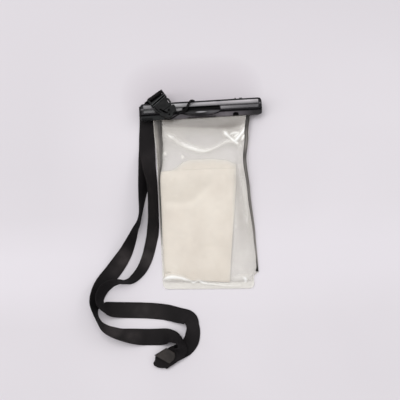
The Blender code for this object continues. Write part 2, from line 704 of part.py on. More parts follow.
# From the plug's hole to the knot, and from the knot back to the left eyelet
CORD_OUT = (
    (HOLE_X, HOLE_Y, PLUG_TOP - 0.9),
    (HOLE_X, HOLE_Y, BUCKLE_BOTTOM + 0.9),
    (HOLE_X + 0.5, HOLE_Y + 0.2, BUCKLE_BOTTOM - 0.7),
    (HOLE_X + 2.2, HOLE_Y + 0.9, BUCKLE_BOTTOM - 1.3),
    (HOLE_X + 4.3, HOLE_Y + 1.7, BUCKLE_BOTTOM - 0.6),
    (HOLE_X + 6.3, HOLE_Y + 2.5, CORD_OVER - 1.3),
    (HOLE_X + 8.8, HOLE_Y + 3.7, CORD_OVER - 0.4),
    (-17.8, 80.2, CORD_OVER),
    (-14.9, 82.4, CORD_OVER),
    (-12.6, 84.8, CORD_OVER),
    (-10.6, 87.0, CORD_OVER + 0.3),
)
CORD_BACK = (
    (-8.4, 87.0, CORD_OVER + 0.3),
    (-10.6, 84.4, CORD_OVER),
    (-13.2, 81.5, CORD_OVER),
    (-16.4, 78.9, CORD_OVER),
    (-20.0, 76.6, CORD_OVER - 0.4),
    (-23.8, 74.3, CORD_OVER - 1.5),
    (-27.4, 72.3, CORD_OVER - 3.0),
    (-31.0, 71.6, CORD_OVER - 4.4),
    (-33.0, 73.2, CORD_OVER - 4.9),
)


def tube(name, points, radius, sides=10):
    """A round cord through points, its rings carried along without a twist."""
    rings, across = [], Vector((1, 0, 0))
    for k, centre in enumerate(points):
        along = (points[min(k + 1, len(points) - 1)] - points[max(k - 1, 0)]).normalized()
        across = (across - along * across.dot(along)).normalized()
        other = along.cross(across)
        turns = [2 * math.pi * i / sides for i in range(sides)]
        rings.append([centre + (across * math.cos(t) + other * math.sin(t)) * radius for t in turns])
    return loft(name, rings)


def make_cord():
    """Two strands of thin cord that meet in a knot on the clamp."""
    long, wide, high = KNOT_HALF
    middle = CORD_OVER - CORD_DIAMETER / 2 + high + 0.05
    rings = []
    for i in range(9):
        turn = math.radians(12 + 156 * i / 8)
        x = KNOT_AT[0] - long * math.cos(turn)
        rings.append([(x, KNOT_AT[1] + u * math.sin(turn), middle + v * math.sin(turn)) for u, v in circle(0, 0, 1.0, 12)])
        rings[-1] = [(x, KNOT_AT[1] + (y - KNOT_AT[1]) * wide, middle + (z - middle) * high) for x, y, z in rings[-1]]
    knot = loft("cord_loop", rings)
    for name, route in (("cord_out", CORD_OUT), ("cord_back", CORD_BACK)):
        join(knot, tube(name, on_curve(route, 3), CORD_DIAMETER / 2))
    dress(knot, WEBBING, 50)


def ribbon(name, stations, width, thick, steps=3, fixed_across=None):
    """Webbing along (x, y, z, roll) stations: z is its middle's height, and roll turns it about its length."""
    places = on_curve(stations, steps) if steps > 1 else stations
    centres = [Vector(p[:3]) for p in places]
    rings, across = [], fixed_across
    for k, place in enumerate(places):
        along = (centres[min(k + 1, len(places) - 1)] - centres[max(k - 1, 0)]).normalized()
        level = Vector((-along.y, along.x, 0))
        if fixed_across is not None:
            level = fixed_across
        elif across is not None and (level.length < 0.3 or level.dot(across) < 0):
            level = across if level.length < 0.3 else -level
        across = (level - along * level.dot(along)).normalized()
        up = along.cross(across)
        turn = math.radians(place[3])
        side = across * math.cos(turn) + up * math.sin(turn)
        face = along.cross(side)
        half, deep = side * width / 2, face * thick / 2
        middle = centres[k]
        rings.append([middle - half - deep, middle + half - deep, middle + half + deep, middle - half + deep])
    return dress(loft(name, rings), WEBBING, 40)


def lying(stations, width, steps=3):
    """A smooth path through (x, y, roll, lift) stations whose low edge is on the ground, plus the lift."""
    path = []
    for x, y, roll, lift in on_curve(stations, steps):
        turn = math.radians(roll)
        height = abs(math.sin(turn)) * width / 2 + abs(math.cos(turn)) * STRAP_THICK / 2
        path.append((x, y, height + max(lift, 0.0) + 0.02, roll))
    return path


UNDER = STRAP_THICK + GAP
# (x, y, roll in degrees, lift) from behind the clamp to the clasp
LEG_A = (
    (-51.9, 89.0, 0, 0),
    (-51.9, 80.0, 0, 0),
    (-52.2, 70.0, 0, 0),
    (-53.2, 58.0, 0, 0),
    (-53.8, 46.0, -6, 0),
    (-54.8, 36.5, -20, 0),
    (-56.0, 27.0, -36, 0),
    (-58.6, 9.7, -58, 0),
    (-60.3, -2.0, -72, 0),
    (-61.8, -14.0, -84, 0),
    (-64.0, -23.0, -84, 0),
    (-67.5, -30.0, -76, 0),
    (-72.7, -40.0, -60, 0),
    (-79.3, -52.0, -40, 0),
    (-89.3, -65.0, -14, 0),
    (-98.6, -76.5, -14, 0),
    (-104.8, -86.2, -40, 0),
    (-107.8, -96.0, -58, 0),
    (-107.5, -104.4, -80, 0),
    (-104.2, -112.6, -82, 0),
    (-99.0, -119.0, -65, 0),
    (-92.5, -122.6, -53, 0),
    (-83.5, -125.7, -42, 0),
    (-70.4, -128.1, -14, 0),
    (-60.7, -129.0, 0, 0),
    (-50.0, -129.4, 0, 0.6),
    (-43.6, -129.6, -14, 1.8),
    (-37.2, -131.2, -42, 2.8),
    (-32.2, -134.8, -64, 3.4),
    (-30.2, -138.8, -64, 3.4),
    (-31.6, -142.0, -46, 3.3),
    (-34.6, -144.0, -14, 3.2),
    (-38.6, -146.2, 0, 3.1),
    (-44.2, -149.4, 0, 3.0),
    (-48.4, -151.8, 0, 3.0),
)
LEG_B = (
    (-51.9, 89.0, 0, UNDER),
    (-51.9, 80.0, 0, UNDER),
    (-52.2, 70.0, 0, UNDER),
    (-53.0, 58.0, 0, UNDER),
    (-53.2, 46.0, -6, UNDER + 0.3),
    (-52.7, 36.5, -20, UNDER + 0.4),
    (-51.9, 27.0, -36, 1.1),
    (-49.9, 9.0, -52, 0),
    (-50.1, -17.0, -52, 0),
    (-51.2, -31.0, -46, 0),
    (-53.6, -41.0, -46, 0),
    (-58.3, -56.6, -48, 0),
    (-64.4, -68.3, -56, 0),
    (-72.2, -76.2, -68, 0),
    (-79.2, -78.1, -80, 0.4),
    (-85.2, -77.8, -76, 1.6),
    (-92.2, -79.2, -66, 2.6),
    (-98.2, -83.2, -60, 2.0),
    (-102.2, -89.4, -60, 0.6),
    (-102.7, -95.0, -60, 0),
    (-99.4, -99.6, -44, 0),
    (-91.7, -102.0, -16, 0),
    (-78.9, -103.4, 0, 0),
    (-60.5, -104.9, 0, 0),
    (-44.1, -107.3, 0, 0),
    (-32.3, -110.8, -10, 0),
    (-24.6, -114.6, -26, 0),
    (-19.9, -120.8, -34, 0),
    (-19.2, -128.2, -28, 0),
    (-21.8, -135.2, -12, 0),
    (-26.6, -140.6, 0, 0.2),
    (-32.2, -143.4, 0, 0.7),
    (-37.8, -145.8, 0, 0.9),
    (-44.2, -149.4, 0, 0.9),
    (-49.4, -152.4, 0, 0.9),
)


def make_strap():
    ribbon("strap_leg_a", lying(LEG_A, STRAP_WIDTH), STRAP_WIDTH, STRAP_THICK, 1)
    route = lying(LEG_B, STRAP_WIDTH)
    tau = math.radians(CLASP_ANGLE)
    low = route[-1][2]
    turned = [route[-1]]
    for out, up in ((9.8, 0.1), (11.6, 0.7), (11.0, 1.4), (8.6, 1.5), (5.8, 1.3), (2.8, 1.25)):
        turned.append((CLASP_AT[0] + out * math.cos(tau), CLASP_AT[1] + out * math.sin(tau), low + up, 0))
    route += [tuple(p) for p in on_curve(turned, 2)][1:]
    ribbon("strap_leg_b", route, STRAP_WIDTH - 0.4, STRAP_THICK, 1)


def make_stub():
    """The turn of the webbing round the socket's cross bar, with both legs leaving it downwards."""
    profile = (
        (0.6, -1.6), (2.6, -1.0), (3.6, 1.0), (3.6, 4.0), (2.8, 5.6), (1.0, 6.0), (-0.7, 5.4), (-1.3, 3.4),
        (-1.4, 1.0), (-1.9, -1.4),
    )
    turn = math.radians(BUCKLE_ANGLE)
    drift = 0.55
    stations = []
    for a, c in profile:
        shift = drift * min(0.0, c)
        x = BUCKLE_AT[0] + a * math.cos(turn) + shift
        y = BUCKLE_AT[1] + a * math.sin(turn)
        stations.append((x, y, BUCKLE_BOTTOM + c, 0))
    across = Vector((-math.sin(turn), math.cos(turn), 0))
    ribbon("strap_stub", stations, 2 * SLOT_HALF - 0.9, STRAP_THICK, 3, across)


def make_clasp():
    """A flat sleeve that both ends of the webbing run into."""
    frame = Matrix.Translation(Vector((*CLASP_AT, 0)) * MM) @ Matrix.Rotation(math.radians(CLASP_ANGLE), 4, "Z")
    half, wide = CLASP_LENGTH / 2, CLASP_WIDTH / 2
    rings = []
    for a, inset in ((-half, 0.5), (-half + 0.5, 0.0), (half - 0.5, 0.0), (half, 0.5)):
        ring = rounded(-wide + inset, inset, wide - inset, CLASP_HEIGHT - inset, 1.1, 3)
        rings.append([(a, b, c) for b, c in ring])
    clasp = loft("strap_clasp", rings)
    clasp.data.transform(frame)
    low = (-half - 1, -wide + CLASP_WALL, CLASP_WALL)
    bore = box("cut_clasp_bore", low, (half + 1, wide - CLASP_WALL, CLASP_HEIGHT - CLASP_WALL))
    bore.data.transform(frame)
    cut(clasp, bore)
    dress(clasp, CLASP_PLASTIC)


make_rear_jaw()
make_front_jaw()
make_hinge_pins()
make_gasket()
make_inlays()
make_latch()
make_bag()
make_side_bands()
make_paper()
make_socket()
make_plug()
make_cord()
make_strap()
make_stub()
make_clasp()
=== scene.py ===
"""The looks of a waterproof phone pouch that lies on its back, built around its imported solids.

Shapes are written in millimetres and made in metres. X runs along the clamp bar, Y from the bag's bottom to
the clamp, and Z up from the floor.
"""

import math

import bpy
import numpy as np
from mathutils import Matrix, Vector, noise


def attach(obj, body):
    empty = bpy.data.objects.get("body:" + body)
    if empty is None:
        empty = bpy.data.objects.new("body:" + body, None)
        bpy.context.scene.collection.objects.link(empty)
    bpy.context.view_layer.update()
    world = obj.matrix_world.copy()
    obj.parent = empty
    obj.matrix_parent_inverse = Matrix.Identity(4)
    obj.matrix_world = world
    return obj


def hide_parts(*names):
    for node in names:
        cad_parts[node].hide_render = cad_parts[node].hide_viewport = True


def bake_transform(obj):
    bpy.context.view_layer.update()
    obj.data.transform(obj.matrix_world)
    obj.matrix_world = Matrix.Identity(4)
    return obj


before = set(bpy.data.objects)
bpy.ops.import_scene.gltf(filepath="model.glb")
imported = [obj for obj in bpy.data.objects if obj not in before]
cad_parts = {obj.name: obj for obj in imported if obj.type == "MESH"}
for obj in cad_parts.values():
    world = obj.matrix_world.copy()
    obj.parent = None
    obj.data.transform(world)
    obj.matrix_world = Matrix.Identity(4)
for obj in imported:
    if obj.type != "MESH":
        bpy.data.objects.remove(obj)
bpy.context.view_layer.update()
MM = 0.001
ROOT = "bag_and_rear_jaw"

# Camera: it looks down from the bag's bottom end, turned a little about its own axis

CAMERA_ELEVATION = 80.0
CAMERA_ROLL = 3.4
CAMERA_DISTANCE = 0.8
CAMERA_LENS = 76.36
CAMERA_SHIFT = (-0.0153, -0.0131)


def aim_camera():
    elevation, roll = math.radians(CAMERA_ELEVATION), math.radians(CAMERA_ROLL)
    back = Vector((0, -math.cos(elevation), math.sin(elevation)))
    level_up = back.cross(Vector((1, 0, 0)))
    right = Vector((1, 0, 0)) * math.cos(roll) - level_up * math.sin(roll)
    up = Vector((1, 0, 0)) * math.sin(roll) + level_up * math.cos(roll)
    lens = bpy.data.cameras.new("camera")
    lens.sensor_width = 36
    lens.lens = CAMERA_LENS
    lens.shift_x, lens.shift_y = CAMERA_SHIFT
    camera = bpy.data.objects.new("camera", lens)
    bpy.context.scene.collection.objects.link(camera)
    turn = Matrix((right, up, back)).transposed().to_4x4()
    camera.matrix_world = Matrix.Translation(back * CAMERA_DISTANCE) @ turn
    bpy.context.scene.camera = camera


aim_camera()

# Light, floor and world


def light(name, place, size, power):
    """A rectangular light in metres and watts, aimed at the origin."""
    lamp = bpy.data.lights.new(name, "AREA")
    lamp.shape = "RECTANGLE"
    lamp.size, lamp.size_y = size
    lamp.energy = power
    obj = bpy.data.objects.new(name, lamp)
    bpy.context.scene.collection.objects.link(obj)
    obj.location = place
    obj.rotation_euler = (-Vector(place)).to_track_quat("-Z", "Y").to_euler()


light("overhead_light", (-0.35, 0.42, 1.7), (1.5, 1.0), 16.2)
light("left_light", (-1.2, -0.1, 1.0), (0.5, 0.8), 2.6)
light("right_light", (1.0, 0.5, 0.9), (0.3, 0.5), 1.6)

world = bpy.data.worlds.new("studio")
bpy.context.scene.world = world
world.use_nodes = True
sky = world.node_tree.nodes["Background"].inputs
sky["Color"].default_value = (0.96, 0.95, 0.97, 1)
sky["Strength"].default_value = 0.62
bpy.context.scene.view_settings.view_transform = "Standard"

# Materials


def srgb(red, green, blue):
    """A colour as seen on a screen, 0 to 255, as the linear values of a shader."""

    def linear(value):
        value /= 255
        return value / 12.92 if value <= 0.04045 else ((value + 0.055) / 1.055) ** 2.4

    return (linear(red), linear(green), linear(blue), 1.0)


class Paint:
    """A material being built: its Principled shader, and short calls for the nodes in front of it."""

    def __init__(self, name, colour, roughness, **inputs):
        self.material = bpy.data.materials.new(name)
        self.material.use_nodes = True
        self.tree = self.material.node_tree
        self.shader = self.tree.nodes["Principled BSDF"]
        self.shader.inputs["Base Color"].default_value = colour
        self.shader.inputs["Roughness"].default_value = roughness
        for key, value in inputs.items():
            self.shader.inputs[key.replace("_", " ")].default_value = value

    def node(self, kind, **settings):
        made = self.tree.nodes.new(kind)
        for key, value in settings.items():
            if key in made.inputs:
                made.inputs[key].default_value = value
            else:
                setattr(made, key, value)
        return made

    def link(self, output, target):
        self.tree.links.new(output, target)

    def place(self, use_uv=False):
        """Object coordinates in millimetres, or UV ones, which are in millimetres already."""
        if use_uv:
            return self.node("ShaderNodeTexCoord").outputs["UV"]
        coordinates = self.node("ShaderNodeTexCoord")
        scaled = self.node("ShaderNodeVectorMath", operation="SCALE", Scale=1000.0)
        self.link(coordinates.outputs["Object"], scaled.inputs[0])
        return scaled.outputs[0]

    def noise(self, size, detail=3.0, stretch=(1, 1, 1), use_uv=False):
        """Noise whose features are about that many millimetres across."""
        mapping = self.node("ShaderNodeMapping")
        mapping.inputs["Scale"].default_value = tuple(1 / (size * s) for s in stretch)
        self.link(self.place(use_uv), mapping.inputs["Vector"])
        made = self.node("ShaderNodeTexNoise", Scale=1.0, Detail=detail)
        self.link(mapping.outputs[0], made.inputs["Vector"])
        return made.outputs["Fac"]

    def span(self, value, low, high, start=0.0, end=1.0):
        """A number that goes from low to high while the value goes from start to end, and no further."""
        made = self.node("ShaderNodeMapRange")
        made.inputs["From Min"].default_value = start
        made.inputs["From Max"].default_value = end
        made.inputs["To Min"].default_value = low
        made.inputs["To Max"].default_value = high
        self.link(value, made.inputs["Value"])
        return made.outputs["Result"]

    def below(self, value, edge, soft):
        """1 below an edge and 0 above it."""
        return self.span(value, 1.0, 0.0, edge - soft, edge + soft)

    def above(self, value, edge, soft):
        return self.span(value, 0.0, 1.0, edge - soft, edge + soft)

    def mix(self, factor, first, second):
        made = self.node("ShaderNodeMix", data_type="RGBA")
        self.link(factor, made.inputs[0])
        for socket, colour in ((made.inputs[6], first), (made.inputs[7], second)):
            if isinstance(colour, tuple):
                socket.default_value = colour
            else:
                self.link(colour, socket)
        return made.outputs[2]

    def math(self, operation, *values):
        """An operation on one value, on two, or on more from left to right."""
        if len(values) > 2:
            values = (self.math(operation, *values[:-1]), values[-1])
        made = self.node("ShaderNodeMath", operation=operation)
        for socket, value in zip(made.inputs, values):
            if isinstance(value, (int, float)):
                socket.default_value = value
            else:
                self.link(value, socket)
        return made.outputs[0]

    def times(self, *values):
        return self.math("MULTIPLY", *values)

    def away(self, value, middle):
        return self.math("ABSOLUTE", self.math("SUBTRACT", value, middle))

    def share(self, value, middle, reach, power=2.0):
        """How far a value is from a middle, as a share of a reach and to a power."""
        return self.math("POWER", self.times(self.math("SUBTRACT", value, middle), 1 / reach), power)

    def wave(self, value, pitch):
        return self.math("SINE", self.times(value, 2 * math.pi / pitch))

    def axes(self):
        """X, Y and Z in millimetres."""
        split = self.node("ShaderNodeSeparateXYZ")
        self.link(self.place(), split.inputs[0])
        return split.outputs

    def ramp(self, value, stops):
        """A colour that changes along a value from 0 to 1, through (value, colour) stops."""
        made = self.node("ShaderNodeValToRGB")
        elements = made.color_ramp.elements
        elements[0].position, elements[0].color = stops[0]
        elements[1].position, elements[1].color = stops[-1]
        for position, colour in stops[1:-1]:
            elements.new(position).color = colour
        self.link(value, made.inputs["Fac"])
        return made.outputs["Color"]

    def attribute(self, name):
        made = self.node("ShaderNodeAttribute")
        made.attribute_name = name
        return made.outputs["Fac"]

    def set(self, name, output):
        self.link(output, self.shader.inputs[name])

    def rough(self, pattern, low, high):
        """A roughness that follows a noise's middle range."""
        self.set("Roughness", self.span(pattern, low, high, 0.3, 0.7))

    def bump(self, height, strength, millimetres):
        made = self.node("ShaderNodeBump", Strength=strength, Distance=millimetres * MM)
        self.link(height, made.inputs["Height"])
        self.link(made.outputs[0], self.shader.inputs["Normal"])


def moulded(name, dark, light_tone, roughness, grain=0.5, depth=0.02, shine=0.4):
    """Moulded plastic: grain of a size and depth, uneven sheen and a greyer tone where it is handled."""
    paint = Paint(name, dark, roughness, Specular_IOR_Level=shine)
    handled = paint.span(paint.noise(9.0, 4.0), 0.0, 1.0, 0.42, 0.72)
    paint.set("Base Color", paint.mix(handled, dark, light_tone))
    paint.rough(paint.noise(5.0, 5.0), roughness - 0.07, roughness + 0.12)
    paint.bump(paint.noise(grain, 2.0), 0.35, depth)
    return paint.material


# Places on the clamp that its paint follows
CLAMP_HALF = 57.5
LIP_TOP = 76.5
GRIP_PITCH = 3.0
GRIP_REACH = 13.5
GRIP_TOP = 73.65
EYELET_X = 32.6
EYELET_HALF = 2.7
EYELET_TOP = 74.7
RIB_Y = 82.3
SUNK_Z = 14.3
# The lip's painted reflection from left to right
LIP_REFLECTION_STOPS = (
    (0.0, srgb(30, 31, 32)), (0.2, srgb(36, 38, 38)), (0.24, srgb(84, 80, 82)),
    (0.3, srgb(104, 100, 104)), (0.4, srgb(84, 80, 83)), (0.5, srgb(66, 62, 65)), (0.6, srgb(78, 74, 77)),
    (0.7, srgb(104, 99, 103)), (0.82, srgb(80, 76, 80)), (0.93, srgb(36, 34, 36)),
)


def clamp_paint():
    """The clamp's gloss plastic: near black on the frame, a painted grey reflection on the low lip, painted
    shade in hollows.
    """
    paint = Paint("clamp_look", srgb(30, 28, 31), 0.28)
    x, y, z = paint.axes()
    lip = paint.below(y, LIP_TOP, 0.5)
    lip_reflection = paint.ramp(paint.span(x, 0.0, 1.0, -CLAMP_HALF, CLAMP_HALF), LIP_REFLECTION_STOPS)
    rubbed = paint.span(paint.noise(4.5, 5.0, stretch=(2.5, 1, 1)), 0.0, 1.0, 0.5, 0.78)
    frame_tone = paint.mix(rubbed, srgb(22, 20, 23), srgb(44, 41, 45))
    body = paint.mix(lip, frame_tone, lip_reflection)
    # Painted shade, near black: in the grip grooves, in the eyelet notches, in the recess above the latch and
    # at the lip's far left end.
    dashes = paint.span(paint.wave(x, GRIP_PITCH), 0.0, 1.0, -0.5, 0.1)
    off_middle = paint.away(x, 0.0)
    near_middle = paint.below(off_middle, GRIP_REACH, 0.3)
    grip_groove_shade = paint.times(dashes, near_middle, paint.below(y, GRIP_TOP, 0.25))
    at_eyelet = paint.below(paint.away(off_middle, EYELET_X), EYELET_HALF, 0.3)
    eyelet_shade = paint.times(at_eyelet, paint.below(y, EYELET_TOP, 0.3))
    recess_shade = paint.times(paint.below(z, SUNK_Z, 0.4), paint.above(y, LIP_TOP + 0.1, 0.4))
    foot = paint.times(paint.span(x, 0.65, 0.0, -46.4, -45.6), paint.below(y, EYELET_TOP + 0.2, 0.5))
    dark = paint.math("MAXIMUM", grip_groove_shade, eyelet_shade, recess_shade, foot)
    ribbed = paint.mix(paint.below(paint.away(y, RIB_Y), 0.65, 0.15), body, srgb(88, 86, 88))
    paint.set("Base Color", paint.mix(dark, ribbed, srgb(9, 8, 9)))
    gloss = paint.span(lip, 0.14, 0.32)
    paint.set("Specular IOR Level", paint.times(gloss, paint.span(dark, 1.0, 0.15)))
    paint.rough(paint.noise(6.0, 5.0), 0.2, 0.38)
    paint.bump(paint.noise(0.6, 3.0), 0.3, 0.02)
    return paint.material


# The painted highlight on the latch: how high it lies, and its reach along the bar and across it
LATCH_HIGHLIGHT_Y = 76.8
LATCH_HIGHLIGHT = (5.0, 0.7)


def latch_paint():
    """Polished black with a soft painted highlight below its crown and a painted reflection on its lower
    right flank.
    """
    paint = Paint("latch_look", srgb(26, 25, 27), 0.3)
    x, y, _ = paint.axes()
    # Painted highlight below the crown, and painted reflection lower down, stronger to the right
    away = paint.math("ADD", paint.share(y, LATCH_HIGHLIGHT_Y, LATCH_HIGHLIGHT[1]), paint.share(x, 0.0, LATCH_HIGHLIGHT[0]))
    spot = paint.span(away, 1.0, 0.0, 0.3, 1.5)
    flank_reflection = paint.times(paint.below(y, LATCH_HIGHLIGHT_Y + 0.8, 0.8), paint.span(x, 0.2, 1.0, 3.0, 9.0))
    body = paint.mix(flank_reflection, srgb(9, 8, 9), srgb(70, 68, 71))
    paint.set("Base Color", paint.mix(spot, body, srgb(134, 132, 135)))
    paint.set("Specular IOR Level", paint.span(paint.math("MAXIMUM", spot, flank_reflection), 0.07, 0.3))
    paint.rough(paint.noise(4.0, 4.0), 0.25, 0.42)
    paint.bump(paint.noise(0.8, 2.0), 0.2, 0.01)
    return paint.material


def satin(name, low, high, stops):
    """Satin grey inlay with fine lines along the bar, and painted shade towards its low edge.

    low and high are the Y of its edges, and stops its tones along X, which are painted reflection and shade.
    """
    paint = Paint(name, srgb(150, 148, 151), 0.35, Metallic=0.05, Specular_IOR_Level=0.4)
    x, y, _ = paint.axes()
    lines = paint.noise(0.3, 3.0, stretch=(70, 1, 1))
    # Painted reflection and shade along the bar, then painted shade towards the low edge
    tone = paint.ramp(paint.span(x, 0.0, 1.0, -CLAMP_HALF, CLAMP_HALF), stops)
    shade_to_low_edge = paint.mix(paint.span(y, 0.9, 0.0, low, high), tone, srgb(50, 48, 51))
    patches = paint.mix(paint.span(paint.noise(11.0, 3.0), 0.0, 0.35, 0.45, 0.7), shade_to_low_edge, srgb(88, 86, 89))
    paint.set("Base Color", patches)
    paint.rough(lines, 0.22, 0.42)
    paint.bump(lines, 0.25, 0.01)
    return paint.material


def metal(name, dark, light_tone):
    """Drawn metal with fine lines."""
    paint = Paint(name, light_tone, 0.3, Metallic=0.9)
    lines = paint.noise(0.3, 3.0, stretch=(8, 1, 1))
    paint.set("Base Color", paint.mix(paint.span(lines, 0.0, 1.0, 0.3, 0.8), dark, light_tone))
    paint.rough(lines, 0.24, 0.42)
    return paint.material


def woven(name, dark, light_tone, rib=0.75, warp_pitch=0.95):
    """Narrow woven tape: ribs across, warp threads along and patches of painted sheen. Its UV is in
    millimetres.
    """
    paint = Paint(name, dark, 0.8, Specular_IOR_Level=0.12)
    split = paint.node("ShaderNodeSeparateXYZ")
    paint.link(paint.place(use_uv=True), split.inputs[0])
    along, across = split.outputs[0], split.outputs[1]
    weave = paint.times(paint.wave(along, rib), paint.wave(across, warp_pitch))
    fuzz = paint.noise(0.4, 3.0, use_uv=True)
    height = paint.math("ADD", paint.times(weave, 0.35), fuzz)
    worn = paint.span(paint.noise(17.0, 4.0, use_uv=True), 0.0, 0.5, 0.42, 0.75)
    thread = paint.mix(paint.span(height, 0.0, 1.0, 0.1, 1.0), dark, light_tone)
    rubbed = paint.mix(worn, thread, light_tone)
    uneven = paint.span(paint.noise(9.0, 3.0, use_uv=True), 0.55, 1.0, 0.35, 0.65)
    sheen = paint.times(paint.attribute("sheen"), uneven)
    paint.set("Base Color", paint.mix(sheen, rubbed, srgb(76, 71, 71)))
    paint.rough(fuzz, 0.62, 0.85)
    paint.bump(height, 0.6, 0.12)
    return paint.material


def film_paint():
    """Clear soft film: a warm milky veil, white at creases and painted glints, with painted grey shade where
    it turns up to the clamp and near black inside it.
    """
    paint = Paint("film_look", srgb(240, 235, 224), 0.14, Specular_IOR_Level=0.5)
    # Painted light and shade: the white also marks painted glints, and the second and third weights are
    # painted shade by and inside the clamp.
    whitening_and_glint, shade, inside = paint.attribute("whitening_and_glint"), paint.attribute("shade"), paint.attribute("inside")
    haze = paint.noise(24.0, 4.0)
    body = paint.mix(shade, srgb(250, 246, 237), srgb(150, 144, 138))
    lined = paint.mix(whitening_and_glint, body, srgb(253, 253, 251))
    paint.set("Base Color", paint.mix(inside, lined, srgb(14, 13, 14)))
    paint.set("Specular IOR Level", paint.span(inside, 0.5, 0.02))
    veil = paint.math("ADD", paint.span(haze, 0.11, 0.17, 0.3, 0.7), paint.times(shade, 0.35))
    milk = paint.math("ADD", veil, paint.times(whitening_and_glint, 0.8), inside)
    paint.set("Alpha", paint.math("MINIMUM", milk, 1.0))
    paint.rough(paint.noise(6.0, 3.0), 0.09, 0.2)
    paint.bump(paint.noise(3.5, 4.0, stretch=(1, 2.4, 1)), 0.3, 0.1)
    return paint.material


def band_paint():
    """Black strip under film: its tone thins out where the film over it catches light."""
    paint = Paint("band_look", srgb(60, 58, 57), 0.34, Specular_IOR_Level=0.12)
    pale, fade = paint.attribute("pale"), paint.attribute("fade")
    streaks = paint.noise(2.2, 4.0, stretch=(0.5, 12, 1))
    tone = paint.math("ADD", pale, paint.span(streaks, -0.06, 0.08, 0.3, 0.7))
    paint.set("Base Color", paint.mix(paint.span(tone, 0.0, 1.0), srgb(18, 17, 17), srgb(170, 165, 159)))
    paint.set("Alpha", paint.span(fade, 1.0, 0.0))
    paint.rough(streaks, 0.26, 0.42)
    paint.bump(streaks, 0.2, 0.05)
    return paint.material


def paper_paint():
    """Cream paper: faint fibres and patches, with painted shade where a fold, a far edge or a small wrinkle
    lies in shade, and painted light along the fold.
    """
    paint = Paint("paper_look", srgb(236, 229, 216), 0.85, Specular_IOR_Level=0.15)
    fibre = paint.noise(0.6, 5.0)
    patch = paint.span(paint.noise(30.0, 3.0), 0.0, 1.0, 0.35, 0.65)
    body = paint.mix(patch, srgb(211, 202, 191), srgb(221, 213, 202))
    speckled = paint.mix(paint.span(fibre, 0.0, 0.15, 0.45, 0.75), body, srgb(200, 190, 174))
    shaded = paint.mix(paint.attribute("fold"), speckled, srgb(168, 160, 146))
    whole = paint.mix(paint.attribute("lit"), shaded, srgb(240, 235, 224))
    paint.set("Base Color", paint.mix(paint.attribute("soft"), srgb(209, 205, 199), whole))
    paint.bump(fibre, 0.3, 0.04)
    return paint.material


# The painted soft shadow on the floor behind the bar: its middle and its reach
SHADE_AT = (-8.0, 100.0)
SHADE_REACH = (62.0, 30.0)
# Across the floor runs a slightly paler band of painted light, where a backdrop would bend up
BEND_Y = -64.0


def floor_paint():
    """A pale, even surface with painted shade: a little darker far off and at the left, with a painted shadow
    behind the bar.
    """
    paint = Paint("floor_look", srgb(221, 216, 220), 0.9, Specular_IOR_Level=0.1)
    x, y, _ = paint.axes()
    patch = paint.span(paint.noise(160.0, 2.0), 0.0, 1.0, 0.3, 0.7)
    even = paint.mix(patch, srgb(215, 211, 215), srgb(220, 216, 220))
    left = paint.times(paint.span(x, 1.0, 0.0, -150.0, -60.0), paint.span(y, 0.45, 1.0, -60.0, 30.0))
    darker = paint.mix(left, even, srgb(210, 206, 210))
    bend = paint.span(paint.away(y, BEND_Y), 0.6, 0.0, 12.0, 52.0)
    near = paint.mix(bend, darker, srgb(223, 219, 224))
    tone = paint.mix(paint.span(y, 0.0, 1.0, 60.0, 190.0), near, srgb(210, 206, 210))
    across = paint.share(x, SHADE_AT[0], SHADE_REACH[0], 4.0)
    off = paint.math("ADD", across, paint.share(y, SHADE_AT[1], SHADE_REACH[1]))
    paint.set("Base Color", paint.mix(paint.span(off, 0.75, 0.0, 0.0, 1.6), tone, srgb(200, 194, 199)))
    return paint.material


BLACK_PLASTIC = moulded("black_plastic_look", srgb(28, 27, 29), srgb(46, 45, 48), 0.36)
BUCKLE_PLASTIC = moulded("buckle_plastic_look", srgb(12, 12, 13), srgb(26, 28, 28), 0.42, 0.35, 0.025, 0.12)
# Painted highlight: a lighter copy of the buckle plastic for its ridges
BUCKLE_RIDGE_LIT = moulded("buckle_ridge_lit_look", srgb(46, 48, 48), srgb(70, 72, 72), 0.4, 0.35, shine=0.3)
# Painted shade: near black for the buckle's grooves, slot, recesses and dimple
BUCKLE_HOLLOW_SHADE = moulded("buckle_hollow_shade_look", srgb(3, 3, 3), srgb(6, 6, 6), 0.8, 0.35, 0.01, 0.0)
CLASP_PLASTIC = moulded("clasp_plastic_look", srgb(34, 30, 28), srgb(52, 47, 44), 0.5, 0.6, 0.03, 0.22)
SEAL_RUBBER = moulded("seal_look", srgb(40, 40, 40), srgb(58, 58, 58), 0.75, 0.8)
CLAMP = clamp_paint()
LATCH = latch_paint()
# The inlays' painted reflection and shade from left to right
UPPER_STOPS = (
    (0.0, srgb(112, 110, 113)), (0.16, srgb(128, 126, 129)), (0.24, srgb(176, 174, 176)),
    (0.38, srgb(150, 148, 150)), (0.5, srgb(160, 157, 160)), (0.72, srgb(164, 160, 163)),
    (0.9, srgb(178, 174, 177)), (1.0, srgb(158, 154, 157)),
)
LOWER_STOPS = (
    (0.0, srgb(52, 54, 54)), (0.18, srgb(46, 49, 48)), (0.27, srgb(132, 130, 132)),
    (0.36, srgb(124, 122, 124)), (0.66, srgb(140, 137, 140)), (0.78, srgb(97, 94, 97)),
    (0.9, srgb(66, 63, 66)), (1.0, srgb(56, 53, 56)),
)
UPPER_INLAY = satin("upper_inlay_look", 82.4, 85.6, UPPER_STOPS)
LOWER_INLAY = satin("lower_inlay_look", 78.4, 82.2, LOWER_STOPS)
WEBBING = woven("webbing_look", srgb(11, 10, 11), srgb(31, 28, 29))
CORD = woven("cord_look", srgb(6, 6, 6), srgb(22, 20, 21), rib=0.55, warp_pitch=0.6)
PIN_METAL = metal("pin_look", srgb(150, 150, 152), srgb(190, 190, 192))
